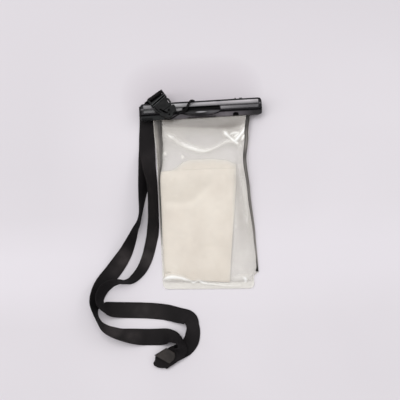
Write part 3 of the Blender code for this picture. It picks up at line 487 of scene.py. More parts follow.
FILM = film_paint()
BAND = band_paint()
PAPER = paper_paint()

# Mesh helpers


def mesh_object(name, points, faces, material, uvs=None, weights=None, smooth=True):
    """A mesh from points in millimetres. weights are each point's numbers, which a paint reads by name."""
    mesh = bpy.data.meshes.new(name)
    mesh.from_pydata([Vector(p) * MM for p in points], [], faces)
    mesh.materials.append(material)
    if uvs is not None:
        layer = mesh.uv_layers.new(name="UVMap")
        for loop in mesh.loops:
            layer.data[loop.index].uv = uvs[loop.vertex_index]
    for key, values in (weights or {}).items():
        attribute = mesh.attributes.new(key, "FLOAT", "POINT")
        attribute.data.foreach_set("value", np.array(values, np.float32))
    obj = bpy.data.objects.new(name, mesh)
    bpy.context.scene.collection.objects.link(obj)
    if smooth:
        mesh.shade_smooth()
    return obj


def tube_faces(rings, count, start=0):
    """The quads between rings of as many points each, and both ends."""
    faces = []
    for low in range(start, start + (rings - 1) * count, count):
        for i in range(count):
            j = (i + 1) % count
            faces.append([low + i, low + j, low + count + j, low + count + i])
    last = start + (rings - 1) * count
    return faces + [list(range(start, start + count))[::-1], list(range(last, last + count))]


def inset(outline, by):
    """An outline of (u, v) points, counter-clockwise, moved inwards."""
    moved = []
    for k, here in enumerate(outline):
        before, after = outline[k - 1], outline[(k + 1) % len(outline)]
        one = Vector((before[1] - here[1], here[0] - before[0])).normalized()
        two = Vector((here[1] - after[1], after[0] - here[0])).normalized()
        step = (one + two) * by / max(1 + one.dot(two), 0.2)
        moved.append((here[0] + step.x, here[1] + step.y))
    return moved


def slabs(name, pieces, material, at=(0, 0, 0), angle=0.0):
    """One mesh of flat slabs, each as (outline, low, high, bevel), in a frame turned by an angle about Z."""
    points, uvs, faces = [], [], []
    turn = Matrix.Translation(Vector(at)) @ Matrix.Rotation(math.radians(angle), 4, "Z")
    for outline, low, high, bevel in pieces:
        faces += tube_faces(4, len(outline), len(points))
        tight = inset(outline, bevel)
        for ring, height in ((tight, low), (outline, low + bevel), (outline, high - bevel), (tight, high)):
            points += [tuple(turn @ Vector((u, v, height))) for u, v in ring]
            uvs += ring
    return mesh_object(name, points, faces, material, uvs, smooth=False)


def settle(piece, body, node=None):
    """Fix a piece to its body, and hide the solid it stands for."""
    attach(piece, body)
    if node is not None:
        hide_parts(node)


def on_curve(points, steps):
    """Points on a smooth curve through the chosen ones, as vectors of as many numbers."""
    padded = [points[0], *points, points[-1]]
    found = []
    for k in range(1, len(padded) - 2):
        p0, p1, p2, p3 = (Vector(p) for p in padded[k - 1 : k + 3])
        for i in range(steps):
            t = i / steps
            bend = (2 * p0 - 5 * p1 + 4 * p2 - p3) * t**2 + (3 * p1 - p0 - 3 * p2 + p3) * t**3
            found.append(0.5 * ((2 * p1) + (p2 - p0) * t + bend))
    return found + [Vector(points[-1])]


def smooth(t):
    """From 0 to 1 with a soft start and end."""
    t = np.clip(t, 0.0, 1.0)
    return t * t * (3 - 2 * t)


def peak(off, reach):
    """1 where off is 0, falling softly to 0 over a few times the reach."""
    return np.exp(-((off / reach) ** 2))


def through(points, at):
    """The values at places, on a smooth curve through (place, value) points in falling order of place."""
    found = np.full_like(at, points[0][1])
    for (a, u), (b, v) in zip(points, points[1:]):
        found = np.where(at < a, u + (v - u) * smooth((a - at) / (a - b)), found)
    return found


def read_off(points, at):
    """The values at places, on straight lines between (place, value) points in rising order of place."""
    return np.interp(at, [p[0] for p in points], [p[1] for p in points])


# Strap: along the solids' route, with some of its stations moved by a few millimetres

STRAP_WIDTH = 15.0
STRAP_THICK = 0.8
# How far the upper leg lies above the ground where the lower one runs under it
UNDER = 1.1
# (x, y, roll in degrees, lift) from behind the clamp to the clasp
LEG_A = (
    (-51.9, 89.0, 0, 0), (-51.9, 80.0, 0, 0), (-52.2, 70.0, 0, 0), (-53.2, 58.0, 0, 0),
    (-53.8, 46.0, -6, 0), (-54.8, 36.5, -20, 0), (-56.0, 27.0, -36, 0), (-58.6, 9.7, -58, 0),
    (-60.3, -2.0, -72, 0), (-61.8, -14.0, -84, 0), (-64.0, -23.0, -84, 0), (-67.5, -30.0, -76, 0),
    (-72.0, -40.0, -60, 0), (-78.5, -52.0, -40, 0), (-88.7, -65.2, -14, 0), (-98.6, -76.5, -14, 0),
    (-104.8, -86.2, -40, 0), (-107.8, -96.0, -58, 0), (-107.5, -104.4, -80, 0), (-104.2, -112.6, -82, 0),
    (-99.0, -119.0, -65, 0), (-92.5, -122.6, -53, 0), (-83.5, -125.7, -42, 0), (-70.4, -128.1, -14, 0),
    (-60.7, -129.0, 0, 0), (-50.0, -129.4, 0, 0.6), (-43.6, -129.6, -14, 1.8), (-37.2, -131.2, -42, 2.8),
    (-32.2, -134.8, -64, 3.4), (-30.2, -138.8, -64, 3.4), (-31.6, -142.0, -46, 3.3),
    (-34.6, -144.0, -14, 3.2), (-38.6, -146.2, 0, 3.1), (-44.2, -149.4, 0, 3.0), (-48.4, -151.8, 0, 3.0),
)
LEG_B = (
    (-51.9, 89.0, 0, UNDER), (-51.9, 80.0, 0, UNDER), (-52.2, 70.0, 0, UNDER), (-53.0, 58.0, 0, UNDER),
    (-53.2, 46.0, -6, UNDER + 0.3), (-52.7, 36.5, -20, UNDER + 0.4), (-51.9, 27.0, -36, 1.1),
    (-49.9, 9.0, -52, 0), (-50.1, -17.0, -52, 0), (-51.2, -31.0, -46, 0), (-53.1, -41.0, -49, 0),
    (-57.7, -56.6, -52, 0), (-63.9, -68.3, -58, 0), (-72.2, -76.2, -68, 0), (-79.2, -78.1, -80, 0.4),
    (-85.2, -77.8, -76, 1.6), (-92.2, -79.2, -66, 2.6), (-98.2, -83.2, -60, 2.0),
    (-102.3, -89.4, -62, 0.6), (-103.0, -95.0, -68, 0), (-100.3, -99.2, -62, 0), (-92.6, -102.0, -20, 0),
    (-78.9, -103.4, 0, 0), (-60.5, -104.9, 0, 0), (-44.1, -107.3, 0, 0), (-32.3, -110.8, -10, 0),
    (-22.6, -114.0, -20, 0), (-19.3, -120.6, -38, 0), (-19.6, -128.2, -26, 0), (-21.8, -135.2, -12, 0),
    (-26.6, -140.6, 0, 0.2), (-32.2, -143.4, 0, 0.7), (-37.8, -145.8, 0, 0.9), (-44.2, -149.4, 0, 0.9),
    (-49.4, -152.4, 0, 0.9),
)
CLASP_AT = (-44.2, -149.4)
CLASP_ANGLE = 210.0
# (distance past the clasp's middle, height) of the turned end
END_TURN = ((4.2, 0.1), (5.4, 0.7), (5.0, 1.4), (3.6, 1.5), (2.0, 1.3))
CLASP_TOP = (
    (-55.6, -145.6), (-42.2, -154.0), (-38.0, -150.9), (-36.6, -148.0), (-36.9, -144.6), (-44.2, -139.6),
)
# The webbing's end, folded over where it comes out of the clasp
END_FOLD = (
    (-55.0, -146.6), (-55.3, -149.8), (-57.0, -152.6), (-56.4, -154.8), (-53.6, -156.6), (-49.6, -157.6),
    (-45.6, -157.6), (-42.2, -156.8), (-41.9, -153.6), (-47.0, -149.0),
)


def lying(stations, width, steps):
    """A smooth path through (x, y, roll, lift) stations whose low edge is on the ground, plus the lift."""
    path = []
    for x, y, roll, lift in on_curve(stations, steps):
        turn = math.radians(roll)
        height = abs(math.sin(turn)) * width / 2 + abs(math.cos(turn)) * STRAP_THICK / 2
        path.append((x, y, height + max(lift, 0.0) + 0.02, roll))
    return path


# Where the webbing's smooth face has a painted grey sheen: X, Y, reach and strength
SHEEN = (
    (-79.0, -56.5, 9.0, 0.8), (-86.0, -66.0, 8.0, 0.35), (-57.0, -58.0, 8.5, 0.75),
    (-50.5, -44.0, 9.0, 0.4), (-92.0, -120.5, 9.0, 0.6), (-76.0, -127.5, 9.0, 0.35),
    (-62.0, -106.0, 16.0, 0.3), (-20.0, -121.0, 9.0, 0.15), (-52.0, 36.0, 12.0, 0.15),
)


def sheen_at(place):
    def from_spot(x, y, reach, strength):
        return strength * math.exp(-(((place.x - x) ** 2 + (place.y - y) ** 2) / reach**2))

    return max(from_spot(*spot) for spot in SHEEN)


# Half the section of the webbing, as shares of its half width and half thickness
SELVEDGE = ((0.0, 1.0), (0.5, 0.97), (0.86, 0.92), (0.93, 1.0), (0.985, 0.8), (1.0, 0.0))


def tape_section():
    """The webbing's whole section, from its right half's."""
    right = list(SELVEDGE)
    bottom = [(u, -v) for u, v in reversed(right[:-1])]
    left = [(-u, -v) for u, v in right[1:]]
    top = [(-u, v) for u, v in reversed(right[1:-1])]
    return right + bottom + left + top


def tape_mesh(path, width, across_each=None):
    """The points, UVs and faces of webbing along (x, y, z, roll) points.

    Its width lies level before the roll, or along across_each, which has a direction for each point.
    """
    centres = [Vector(p[:3]) for p in path]
    section = tape_section()
    points, uvs = [], []
    across, travelled = None, 0.0
    for k, place in enumerate(path):
        before, after = centres[max(k - 1, 0)], centres[min(k + 1, len(path) - 1)]
        along = (after - before).normalized()
        level = Vector((-along.y, along.x, 0))
        if across_each is not None:
            level = across_each[k]
        elif across is not None and level.length < 0.3:
            level = across
        elif across is not None and level.dot(across) < 0:
            level = -level
        across = (level - along * level.dot(along)).normalized()
        turn = math.radians(place[3])
        side = across * math.cos(turn) + along.cross(across) * math.sin(turn)
        face = along.cross(side)
        travelled += (centres[k] - before).length
        for u, v in section:
            points.append(centres[k] + side * (u * width / 2) + face * (v * STRAP_THICK / 2))
            uvs.append((travelled, u * width / 2))
    return points, uvs, tube_faces(len(path), len(section))


def webbing(name, points, uvs, faces):
    return mesh_object(name, points, faces, WEBBING, uvs, {"sheen": [sheen_at(p) for p in points]})


def with_turned_end(route):
    """A route into the clasp, with the end that is folded back on itself past the clasp's middle."""
    tau = math.radians(CLASP_ANGLE)
    low = route[-1][2]
    turned = [route[-1]]
    for out, up in END_TURN:
        turned.append((CLASP_AT[0] + out * math.cos(tau), CLASP_AT[1] + out * math.sin(tau), low + up, 0))
    return route + [tuple(p) for p in on_curve(turned, 5)][1:]


def make_strap():
    route_a = lying(LEG_A, STRAP_WIDTH, 6)
    route_b = with_turned_end(lying(LEG_B, STRAP_WIDTH, 6))
    leg_a = webbing("strap_leg_a_webbing", *tape_mesh(route_a, STRAP_WIDTH))
    leg_b = webbing("strap_leg_b_webbing", *tape_mesh(route_b, STRAP_WIDTH - 0.4))
    settle(leg_a, ROOT, "strap_leg_a")
    settle(leg_b, ROOT, "strap_leg_b")
    fold = slabs("strap_end_fold", ((END_FOLD, 0.2, 3.4, 0.9),), WEBBING)
    sleeve = ((CLASP_TOP, 4.6, 5.8, 0.35), (inset(CLASP_TOP, 0.7), 0.2, 4.8, 0.3))
    clasp = slabs("clasp_sleeve", sleeve, CLASP_PLASTIC)
    settle(fold, ROOT)
    settle(clasp, ROOT, "strap_clasp")


make_strap()

# Bag: its surfaces follow those of the solids, with a wider hem at the bottom

POUCH_LENGTH = 176.6
BAR_TOP = POUCH_LENGTH / 2 - 0.4
LIP_EDGE = BAR_TOP - 15.1
BAG_MOUTH = BAR_TOP - 5.5
BAG_LEFT = -44.8
BAG_SLANT = 0.05
CORNER_ROUND = 4.5
HEM = 2.0
BAG_BOTTOM = -84.3 - HEM
WELD_SIDE = 1.2
WELD_BOTTOM = 4.4 + HEM
BULGE = 3.5
RISE_START = 40.0
CHANNEL_FLOOR = 7.2
FILM_THICK = 0.4
LEFT_EDGE = ((74, -46.0), (60, -45.8), (46, -45.2), (34, -44.9), (-78, -44.8))
RIGHT_EDGE = ((74, 45.8), (55, 43.4), (30, 40.0), (2, 41.6), (-40, 43.8), (-71, 44.4), (-75.5, 39.6))
EDGE_LIFT = ((74, 0.0), (58, 1.2), (30, 5.0), (0, 3.2), (-45, 0.8), (-80, 0.0))
LIFT_START = 31.0


def slant(x, y):
    """How much lower the bag lies towards the right, growing from the clamp to the bottom."""
    return BAG_SLANT * (x - BAG_LEFT) * np.clip((LIP_EDGE - y) / (LIP_EDGE - BAG_BOTTOM), 0, 1)


def corner_inset(y):
    """How far the bag's rounded corners draw its edges in."""
    away = np.clip(y - BAG_BOTTOM, 0, CORNER_ROUND)
    return CORNER_ROUND - np.sqrt(CORNER_ROUND**2 - (CORNER_ROUND - away) ** 2)


def left_edge(y):
    return through(LEFT_EDGE, y) + corner_inset(y)


def right_edge(y):
    return through(RIGHT_EDGE, y) - corner_inset(y)


def back_surface(x, y):
    """The back film's height: it turns up into the clamp, and its right edge stands off the floor."""
    rise = CHANNEL_FLOOR * smooth((y - RISE_START) / (LIP_EDGE - 1.0 - RISE_START))
    lift = through(EDGE_LIFT, y) * smooth((x - LIFT_START) / (right_edge(y) - LIFT_START)) ** 1.5
    return rise + lift


def pillow(x, y):
    """How far the front film stands off the back one, from 0 on the welds to 1 inside."""

    def quarter(inside, radius):
        return np.sqrt(1 - (1 - np.clip(inside / radius, 0, 1)) ** 2)

    sides = quarter(x - BAG_LEFT - WELD_SIDE, 14) * quarter(right_edge(y) - WELD_SIDE - x, 14)
    ends = quarter(y - BAG_BOTTOM - WELD_BOTTOM, 12) * smooth((LIP_EDGE - 1 - y) / 34)
    return sides * ends


# Creases in the front film: the height of each, and its (x, y, width, whiteness) points
# Their whiteness is partly the film's own whitening and partly painted glints and highlights.
CREASES = (
    # The long swag under the clamp
    (0.75, (
        (-34.6, 59.2, 0.8, 0.1), (-31, 56.9, 1.1, 0.62), (-27.7, 54.2, 1.6, 0.34), (-21.8, 49.8, 2.1, 0.36),
        (-15.8, 46.5, 1.8, 0.55), (-9.8, 44.1, 1.6, 0.68), (-4.7, 42.2, 1.5, 0.6), (0.5, 41.3, 1.4, 0.5),
        (4.9, 41.5, 1.3, 0.42), (9.4, 43.2, 1.2, 0.34), (14.7, 45.2, 1.1, 0.28), (19.3, 47.5, 1.4, 0.24),
        (23.7, 49.0, 1.8, 0.3), (28, 48.2, 1.4, 0.26), (32.2, 45.6, 1.1, 0.24), (36.4, 42.4, 0.9, 0.12),
        (39.6, 40.2, 0.8, 0.0),
    )),
    # The crossed glints at the upper right: painted highlights on ridges
    (0.6, (
        (20.6, 58.2, 0.7, 0.6), (21.8, 56.8, 1.3, 1.0), (24.6, 53.8, 0.9, 0.85), (27.4, 51.2, 0.9, 0.9),
        (29.8, 49.0, 1.2, 1.0), (32.4, 46.9, 1.0, 0.9),
    )),
    (0.6, (
        (41.7, 62.4, 0.7, 0.6), (41.0, 60.6, 1.1, 1.0), (38.7, 57.6, 1.2, 1.0), (35.4, 54.2, 1.0, 1.0),
        (31.6, 50.3, 1.1, 1.0), (29.2, 48.6, 0.9, 0.6),
    )),
    (0.3, (
        (25.4, 54.6, 0.5, 0.2), (27.4, 56.0, 0.8, 0.6), (30.4, 56.6, 0.9, 0.75), (33.2, 56.7, 0.7, 0.7),
        (36, 57.2, 0.5, 0.2),
    )),
    (0.3, ((28.3, 52.6, 0.6, 0.2), (31.0, 53.6, 1.0, 0.7), (33.6, 55.4, 0.9, 0.8), (35.6, 55.8, 0.6, 0.3))),
    (0.4, ((40.6, 55.4, 0.5, 0.3), (39.2, 53.2, 1.0, 0.95), (37.6, 50.8, 0.8, 0.8), (36.6, 48.6, 0.6, 0.2))),
    # Two small marks above the paper
    (0.3, ((-21.6, 35.9, 0.8, 0.0), (-20, 36.6, 1.2, 0.5), (-18.4, 37.6, 0.8, 0.0))),
    (0.3, ((-38.2, 43.4, 0.9, 0.0), (-36.4, 41, 1.5, 0.35), (-34.6, 38.6, 1.0, 0.0))),
    # Along the bottom weld, with painted glints; then a painted highlight on the pillowed lower right corner
    (0.5, (
        (-44.2, -77.4, 0.7, 0.5), (-40.7, -76.2, 1.2, 0.95), (-35.1, -76.0, 1.3, 1.0),
        (-28.4, -77.0, 1.1, 0.95), (-24, -78.6, 0.9, 0.95), (-19.6, -80.3, 0.8, 0.6),
        (-16.3, -81.7, 0.8, 0.9), (-11.8, -80.6, 0.7, 0.6), (-8.5, -82.1, 0.9, 0.9), (-4, -83.6, 0.7, 0.7),
        (1.4, -84.4, 0.7, 0.6), (10.3, -86.0, 0.7, 0.6), (19.2, -87.2, 0.6, 0.5), (26, -87.8, 0.6, 0.3),
    )),
    (0.3, ((22, -80.6, 3.0, 0.3), (28, -80.4, 3.2, 0.4), (34, -79.6, 2.6, 0.34), (38, -77.4, 1.6, 0.2))),
    (0.3, (
        (28.8, -79.8, 1.2, 0.5), (31.4, -81.2, 1.5, 1.0), (31.8, -83.2, 1.3, 0.8), (30.6, -85.4, 1.0, 0.3),
    )),
    # Down the right side and the left one
    (0.4, (
        (33, 26, 1.0, 0.0), (35, 12, 1.4, 0.1), (36.6, -8, 1.6, 0.14), (37.8, -30, 1.6, 0.1),
        (38.6, -60, 1.2, 0.0),
    )),
    (0.1, (
        (-43.2, 34, 0.4, 0.05), (-42.9, 12, 0.5, 0.1), (-43.0, -10, 0.5, 0.1), (-43.4, -40, 0.5, 0.22),
        (-43.9, -74, 0.5, 0.35),
    )),
)


def from_segment(x, y, a, b):
    """How far places are from the line between two points, and the share along it where they are nearest."""
    run = b[:2] - a[:2]
    share = np.clip(((x - a[0]) * run[0] + (y - a[1]) * run[1]) / (run @ run), 0, 1)
    return np.hypot(x - a[0] - share * run[0], y - a[1] - share * run[1]), share


def creased(x, y):
    """(height, whiteness) that the creases add at each place. The whiteness holds painted glints too."""
    height, white = np.zeros_like(x), np.zeros_like(x)
    for ridge, points in CREASES:
        curve = np.array([tuple(p) for p in on_curve(points, 8)])
        best, width, tone = np.full_like(x, 1e9), np.ones_like(x), np.zeros_like(x)
        for a, b in zip(curve, curve[1:]):
            away, share = from_segment(x, y, a, b)
            closer = away < best
            best = np.where(closer, away, best)
            width = np.where(closer, a[2] + share * (b[2] - a[2]), width)
            tone = np.where(closer, a[3] + share * (b[3] - a[3]), tone)
        near = 0.68 * peak(best, width) + 0.32 * peak(best, 2.4 * width)
        height += ridge * near * np.clip(3 * tone, 0, 1)
        white = np.maximum(white, tone * near)
    return height, white


def waves(x, y, wide, tall, layer):
    """Slow waves of about that many millimetres, from -1 to 1."""
    found = [noise.noise(Vector((u / wide, v / tall, layer))) for u, v in zip(x.ravel(), y.ravel())]
    return np.array(found).reshape(x.shape)


def front_height(x, y):
    """The front film's underside, over unslanted places, and how white its creases are there."""
    lie = y - slant(x, y)
    height, white = creased(x, lie)
    full = pillow(x, y)
    slack = waves(x, lie, 19, 27, 3.1) * 0.7 + waves(x, lie, 8, 10, 7.7) * 0.2
    detail = height + slack * np.minimum(1.0, 2 * full)
    return back_surface(x, y) + FILM_THICK + 0.35 + BULGE * full + np.maximum(detail, -0.25 - 3 * full), white


SHADE_EDGE = (
    (-46, 68.0), (-37, 67.0), (-24, 65.8), (-7, 64.4), (10, 62.8), (26, 61.6), (36, 64.0), (42, 66.0),
)


def bar_shade(x, y):
    """Painted shade where the film turns up into the clamp, darker with a clear lower edge, and more down the
    bag's right side.
    """
    edge = read_off(SHADE_EDGE, x)
    near_right = 0.42 * smooth((x - 22) / 8) * smooth((36 - y) / 20) * smooth((y + 72) / 64)
    return 0.66 * smooth((y - edge + 2.4) / 3.8) + 0.26 * smooth((y - edge + 10) / 10) + near_right


# Painted shade: inside the clamp the film turns near black.
def shade_inside_clamp(y):
    return smooth((y - LIP_EDGE - 0.2) / 0.4)


def weld_white(x, y):
    """How white the welds and the cut edges are, below the clamp."""
    up = y - BAG_BOTTOM
    edge = 0.5 * peak(np.minimum(np.minimum(x - left_edge(y) + 0.5, right_edge(y) - x), up), 0.55)
    hem = (0.24 + 0.12 * smooth((x - 10) / 25)) * smooth(WELD_BOTTOM - up)
    lines = np.maximum(0.2 * peak(up - WELD_BOTTOM, 0.7), 0.12 * peak(up - 2.2, 0.5))
    return np.maximum(np.maximum(edge, hem), lines) * smooth((66 - y) / 6)


def skin(name, x, y, z, thick, material, weights, outward=None):
    """A thin closed sheet over a grid of places, thickened upwards or along the outward directions."""
    rows, wide = x.shape
    base = np.stack([x, y, z], -1)
    face = np.array((0.0, 0.0, 1.0)) if outward is None else outward
    points = np.concatenate([base.reshape(-1, 3), (base + thick * face).reshape(-1, 3)]).tolist()
    values = {key: np.concatenate([v.ravel(), v.ravel()]) for key, v in weights.items()}
    top, faces = rows * wide, []
    for j in range(rows - 1):
        for i in range(wide - 1):
            a = j * wide + i
            faces.append([a, a + wide, a + wide + 1, a + 1])
            faces.append([top + a, top + a + 1, top + a + wide + 1, top + a + wide])
    rim = list(range(wide)) + [j * wide + wide - 1 for j in range(1, rows)]
    rim += [(rows - 1) * wide + i for i in range(wide - 2, -1, -1)]
    rim += [j * wide for j in range(rows - 2, 0, -1)]
    for a, b in zip(rim, rim[1:] + rim[:1]):
        faces.append([a, b, top + b, top + a])
    return mesh_object(name, points, faces, material, weights=values)


def grid(left, right, low, high, columns, rows):
    """X and Y places over rows of heights, between two edges."""
    y = np.repeat(np.linspace(low, high, rows + 1)[:, None], columns + 1, 1)
    share = np.repeat(np.linspace(0, 1, columns + 1)[None, :], rows + 1, 0)
    x = left(y) + (right(y) - left(y)) * share
    return x, y, share


def make_films():
    """The back film as a coarse skin, and the front one, with its creases, as a fine one."""
    x, y, _ = grid(left_edge, right_edge, BAG_BOTTOM, BAG_MOUTH, 34, 70)
    weights = {"whitening_and_glint": 0.6 * weld_white(x, y), "shade": 0.3 * bar_shade(x, y), "inside": shade_inside_clamp(y)}
    back = skin("back_film_skin", x, y - slant(x, y), back_surface(x, y) + 0.1, 0.2, FILM, weights)
    x, y, _ = grid(left_edge, right_edge, BAG_BOTTOM, BAG_MOUTH, 150, 260)
    z, white = front_height(x, y)
    white = np.maximum(white, weld_white(x, y))
    weights = {"whitening_and_glint": white, "shade": bar_shade(x, y), "inside": shade_inside_clamp(y)}
    front = skin("front_film_skin", x, y - slant(x, y), z, 0.2, FILM, weights)
    settle(back, ROOT, "back_film")
    settle(front, ROOT, "front_film")


make_films()

# Black strips along the bag's sides: widths, and how pale and how faded each looks along its length
LEFT_BAND = ((72.4, 7.6), (54, 6.8), (45, 6.2), (36, 5.4), (20, 2.3), (-20, 1.9), (-45, 1.0))
LEFT_PALE = (
    (72, 0.08), (66, 0.2), (60, 0.32), (52, 0.48), (45, 0.62), (34, 0.66), (22, 0.42), (-20, 0.42),
    (-45, 0.6),
)
LEFT_FADE = (
    (72, 0.0), (62, 0.04), (50, 0.3), (42, 0.5), (34, 0.6), (24, 0.35), (6, 0.3), (-20, 0.3), (-45, 0.95),
)
RIGHT_BAND = (
    (72.4, 3.3), (60, 3.7), (45, 3.5), (30, 3.1), (0, 2.6), (-40, 1.7), (-56, 1.1), (-66, 1.5),
    (-71, 2.6),
)
RIGHT_PALE = (
    (72, 0.0), (64, 0.1), (56, 0.34), (46, 0.42), (36, 0.18), (28, 0.32), (16, 0.3), (0, 0.4), (-20, 0.4),
    (-54, 0.55), (-62, 0.3), (-71, 0.0),
)
NO_FADE = ((72, 0.0), (-75, 0.0))
# (share of the way across, tone) from the left edge of each strip to its right one
LEFT_TONES = ((0.0, 2.1), (0.26, 1.75), (0.46, 0.9), (0.62, 0.62), (1.0, 0.5))
RIGHT_TONES = ((0.0, 0.2), (0.25, 0.8), (0.5, 1.3), (0.8, 1.0), (1.0, 0.3))


def strip(name, left, right, low, pale, fade, across, soft=0.0):
    """One strip over the front film, from the clamp down to a low end. soft blurs its inner edge."""
    x, y, share = grid(left, right, low, LIP_EDGE - 0.4, 10, 150)
    z, _ = front_height(x, y)
    crown = 0.2 * np.sin(math.pi * share)
    faded = np.clip(through(fade, y) + soft * smooth((share - 0.82) / 0.18), 0, 1)
    weights = {"pale": through(pale, y) * read_off(across, share), "fade": faded}
    return skin(name, x, y - slant(x, y), z + 0.3 + crown, 0.25, BAND, weights)


def make_bands():
    def left_out(y):
        return left_edge(y) + 0.9 - 0.8 * smooth((24 - y) / 10)

    def left_in(y):
        return left_out(y) + through(LEFT_BAND, y)

    def right_out(y):
        return right_edge(y) - 0.2

    def right_in(y):
        return right_out(y) - through(RIGHT_BAND, y)

    left = strip("left_band_strip", left_out, left_in, -45.0, LEFT_PALE, LEFT_FADE, LEFT_TONES, soft=0.9)
    right = strip("right_band_strip", right_in, right_out, -71.1, RIGHT_PALE, NO_FADE, RIGHT_TONES)
    settle(left, ROOT, "side_band_left")
    settle(right, ROOT, "side_band_right")


make_bands()

# Paper slip: one sheet turned over at its left edge, so that a taller leaf stands behind a shorter one

PAPER_FOOT = ((-42.9, -76.4), (-38.0, -77.6), (-23.0, -79.6), (-7.3, -81.2), (17.9, -83.6))
PAPER_RIGHT = ((0.0, 17.6), (0.18, 19.8), (0.43, 23.3), (0.7, 27.1), (0.87, 29.3), (1.0, 30.2))
FRONT_TOP = ((-42.0, 24.6), (-26, 25.0), (0, 24.8), (30.2, 23.6))
REAR_TOP = (
    (-42.0, 24.6), (-31.6, 25.4), (-25.2, 28.4), (-20.6, 32.4), (-14, 34.6), (6.2, 34.4), (22.1, 32.0),
    (30.2, 27.4),
)
PAPER_LEFT = (-42.9, -42.0)
PAPER_LOW = 0.74
PAPER_GAP = 0.42
PAPER_THICK = 0.12
FOLD_LINE = ((-36.0, -8.0), (-26, -9.0), (-13.3, -7.8), (-6, -2.5), (-0.8, 3.2), (6.1, 9.6))
# A small wrinkle near the foot, drawn as a line of painted shade
FOOT_WRINKLE_SHADE = ((-42, -70.4), (-40.4, -71.2), (-38.6, -71.0), (-36.6, -72.0))
# Left of this the front leaf's top edge stands off the rear leaf
PAPER_HAZE_FROM = -24.0


def along_line(x, y, points):
    """How far each place lies from a line of points."""
    curve = [np.array(p) for p in on_curve(points, 8)]
    return np.minimum.reduce([from_segment(x, y, a, b)[0] for a, b in zip(curve, curve[1:])])


def paper_columns(left, right, columns, turn):
    """Each column as (leaf, X, Y of its top, height, way out).

    They go over the rear leaf, where leaf is 0, and then over the fold and the front leaf, where it is 1.
    """
    for k in range(columns + 1):
        across = left + (right - left) * (1 - k / columns)
        yield 0.0, across, read_off(REAR_TOP, across), PAPER_LOW, (0.0, 0.0, -1.0)
    for k in range(1, turn):
        sine, cosine = math.sin(math.pi * k / turn), math.cos(math.pi * k / turn)
        across = left - PAPER_GAP / 2 * sine
        height = PAPER_LOW + PAPER_GAP / 2 * (1 - cosine)
        yield 1.0, across, read_off(FRONT_TOP, across), height, (-sine, 0.0, -cosine)
    for k in range(columns + 1):
        across = left + (right - 0.2 - left) * k / columns
        yield 1.0, across, read_off(FRONT_TOP, across), PAPER_LOW + PAPER_GAP, (0.0, 0.0, 1.0)


def paper_surface():
    """X, Y, height, way out, leaf and softness under the film of each place, in rows from foot to top."""
    share = np.linspace(0, 1, 111)[:, None]
    left = PAPER_LEFT[0] + (PAPER_LEFT[1] - PAPER_LEFT[0]) * share
    right = read_off(PAPER_RIGHT, share)
    columns = []
    for leaf, across, top, height, face in paper_columns(left, right, 60, 8):
        foot = read_off(PAPER_FOOT, across)
        depth = (top - foot) * (1 - share)
        side = smooth((right - across) / 0.9)
        soft = side if leaf else side * smooth(depth / 5.0)
        off_top = smooth(depth / 4 + smooth((PAPER_HAZE_FROM - across) / 3))
        nearer = np.minimum(off_top, smooth((right - across) / 4))
        z = PAPER_LOW + (height - PAPER_LOW) * (0.35 + 0.65 * nearer)
        out = np.repeat(np.array(face)[None, None, :], len(share), 0)
        columns.append((across, foot + (top - foot) * share, z, out, np.full_like(share, leaf), soft))
    return (np.concatenate(part, 1) for part in zip(*columns))


def make_paper():
    x, y, z, out, leaf, soft = paper_surface()
    z += 0.16 * (1 + waves(x, y, 24, 32, 1.3))
    above_fold = smooth((y - read_off(FOLD_LINE, x)) / 5) * smooth((14 - x) / 10)
    above_fold *= smooth((22 - y) / 12) * smooth((x + 42) / 4)
    step = peak(y - 26.4, 1.1) * smooth((PAPER_HAZE_FROM - x) / 4)
    front_shade = 0.2 * above_fold + 0.25 * peak(x - PAPER_LEFT[0], 1.3)
    rear_shade = np.clip(0.1 + 0.7 * step, 0, 1)
    wrinkle_shade = peak(along_line(x, y, FOOT_WRINKLE_SHADE), 0.55)
    shaded = np.clip(leaf * (front_shade + 0.9 * wrinkle_shade) + (1 - leaf) * rear_shade, 0, 1)
    lit = leaf * 0.3 * peak(along_line(x, y, FOLD_LINE), 4.0) * smooth((12 - y) / 12)
    weights = {"fold": shaded, "lit": lit, "soft": soft}
    paper = skin("folded_paper_slip", x, y, z, PAPER_THICK, PAPER, weights, out)
    settle(paper, ROOT, "paper_insert")


make_paper()

# Buckle: in its own frame, a along it from its slot end and b across it

BUCKLE_AT = (-43.4, 95.2)
BUCKLE_ANGLE = -56.5
BUCKLE_BOTTOM = 15.3
BUCKLE_PLACE = (*BUCKLE_AT, BUCKLE_BOTTOM)
PLUG_HOLE = 24.6


def beside(a, b, height=0.0):
    """A place in the buckle's frame as X, Y and Z."""
    turn = math.radians(BUCKLE_ANGLE)
    x = BUCKLE_AT[0] + a * math.cos(turn) - b * math.sin(turn)
    y = BUCKLE_AT[1] + a * math.sin(turn) + b * math.cos(turn)
    return (x, y, BUCKLE_BOTTOM + height)


def rectangle(a, b, end_a, end_b, slope=0.0):
    """An outline in the buckle's frame. slope moves its left side along a."""
    return ((a + slope, b), (end_a + slope, b), (end_a, end_b), (a, end_b))


def in_buckle(name, pieces, material, body, node=None):
    """A piece of slabs in the buckle's frame."""
    settle(slabs(name, pieces, material, BUCKLE_PLACE, BUCKLE_ANGLE), body, node)


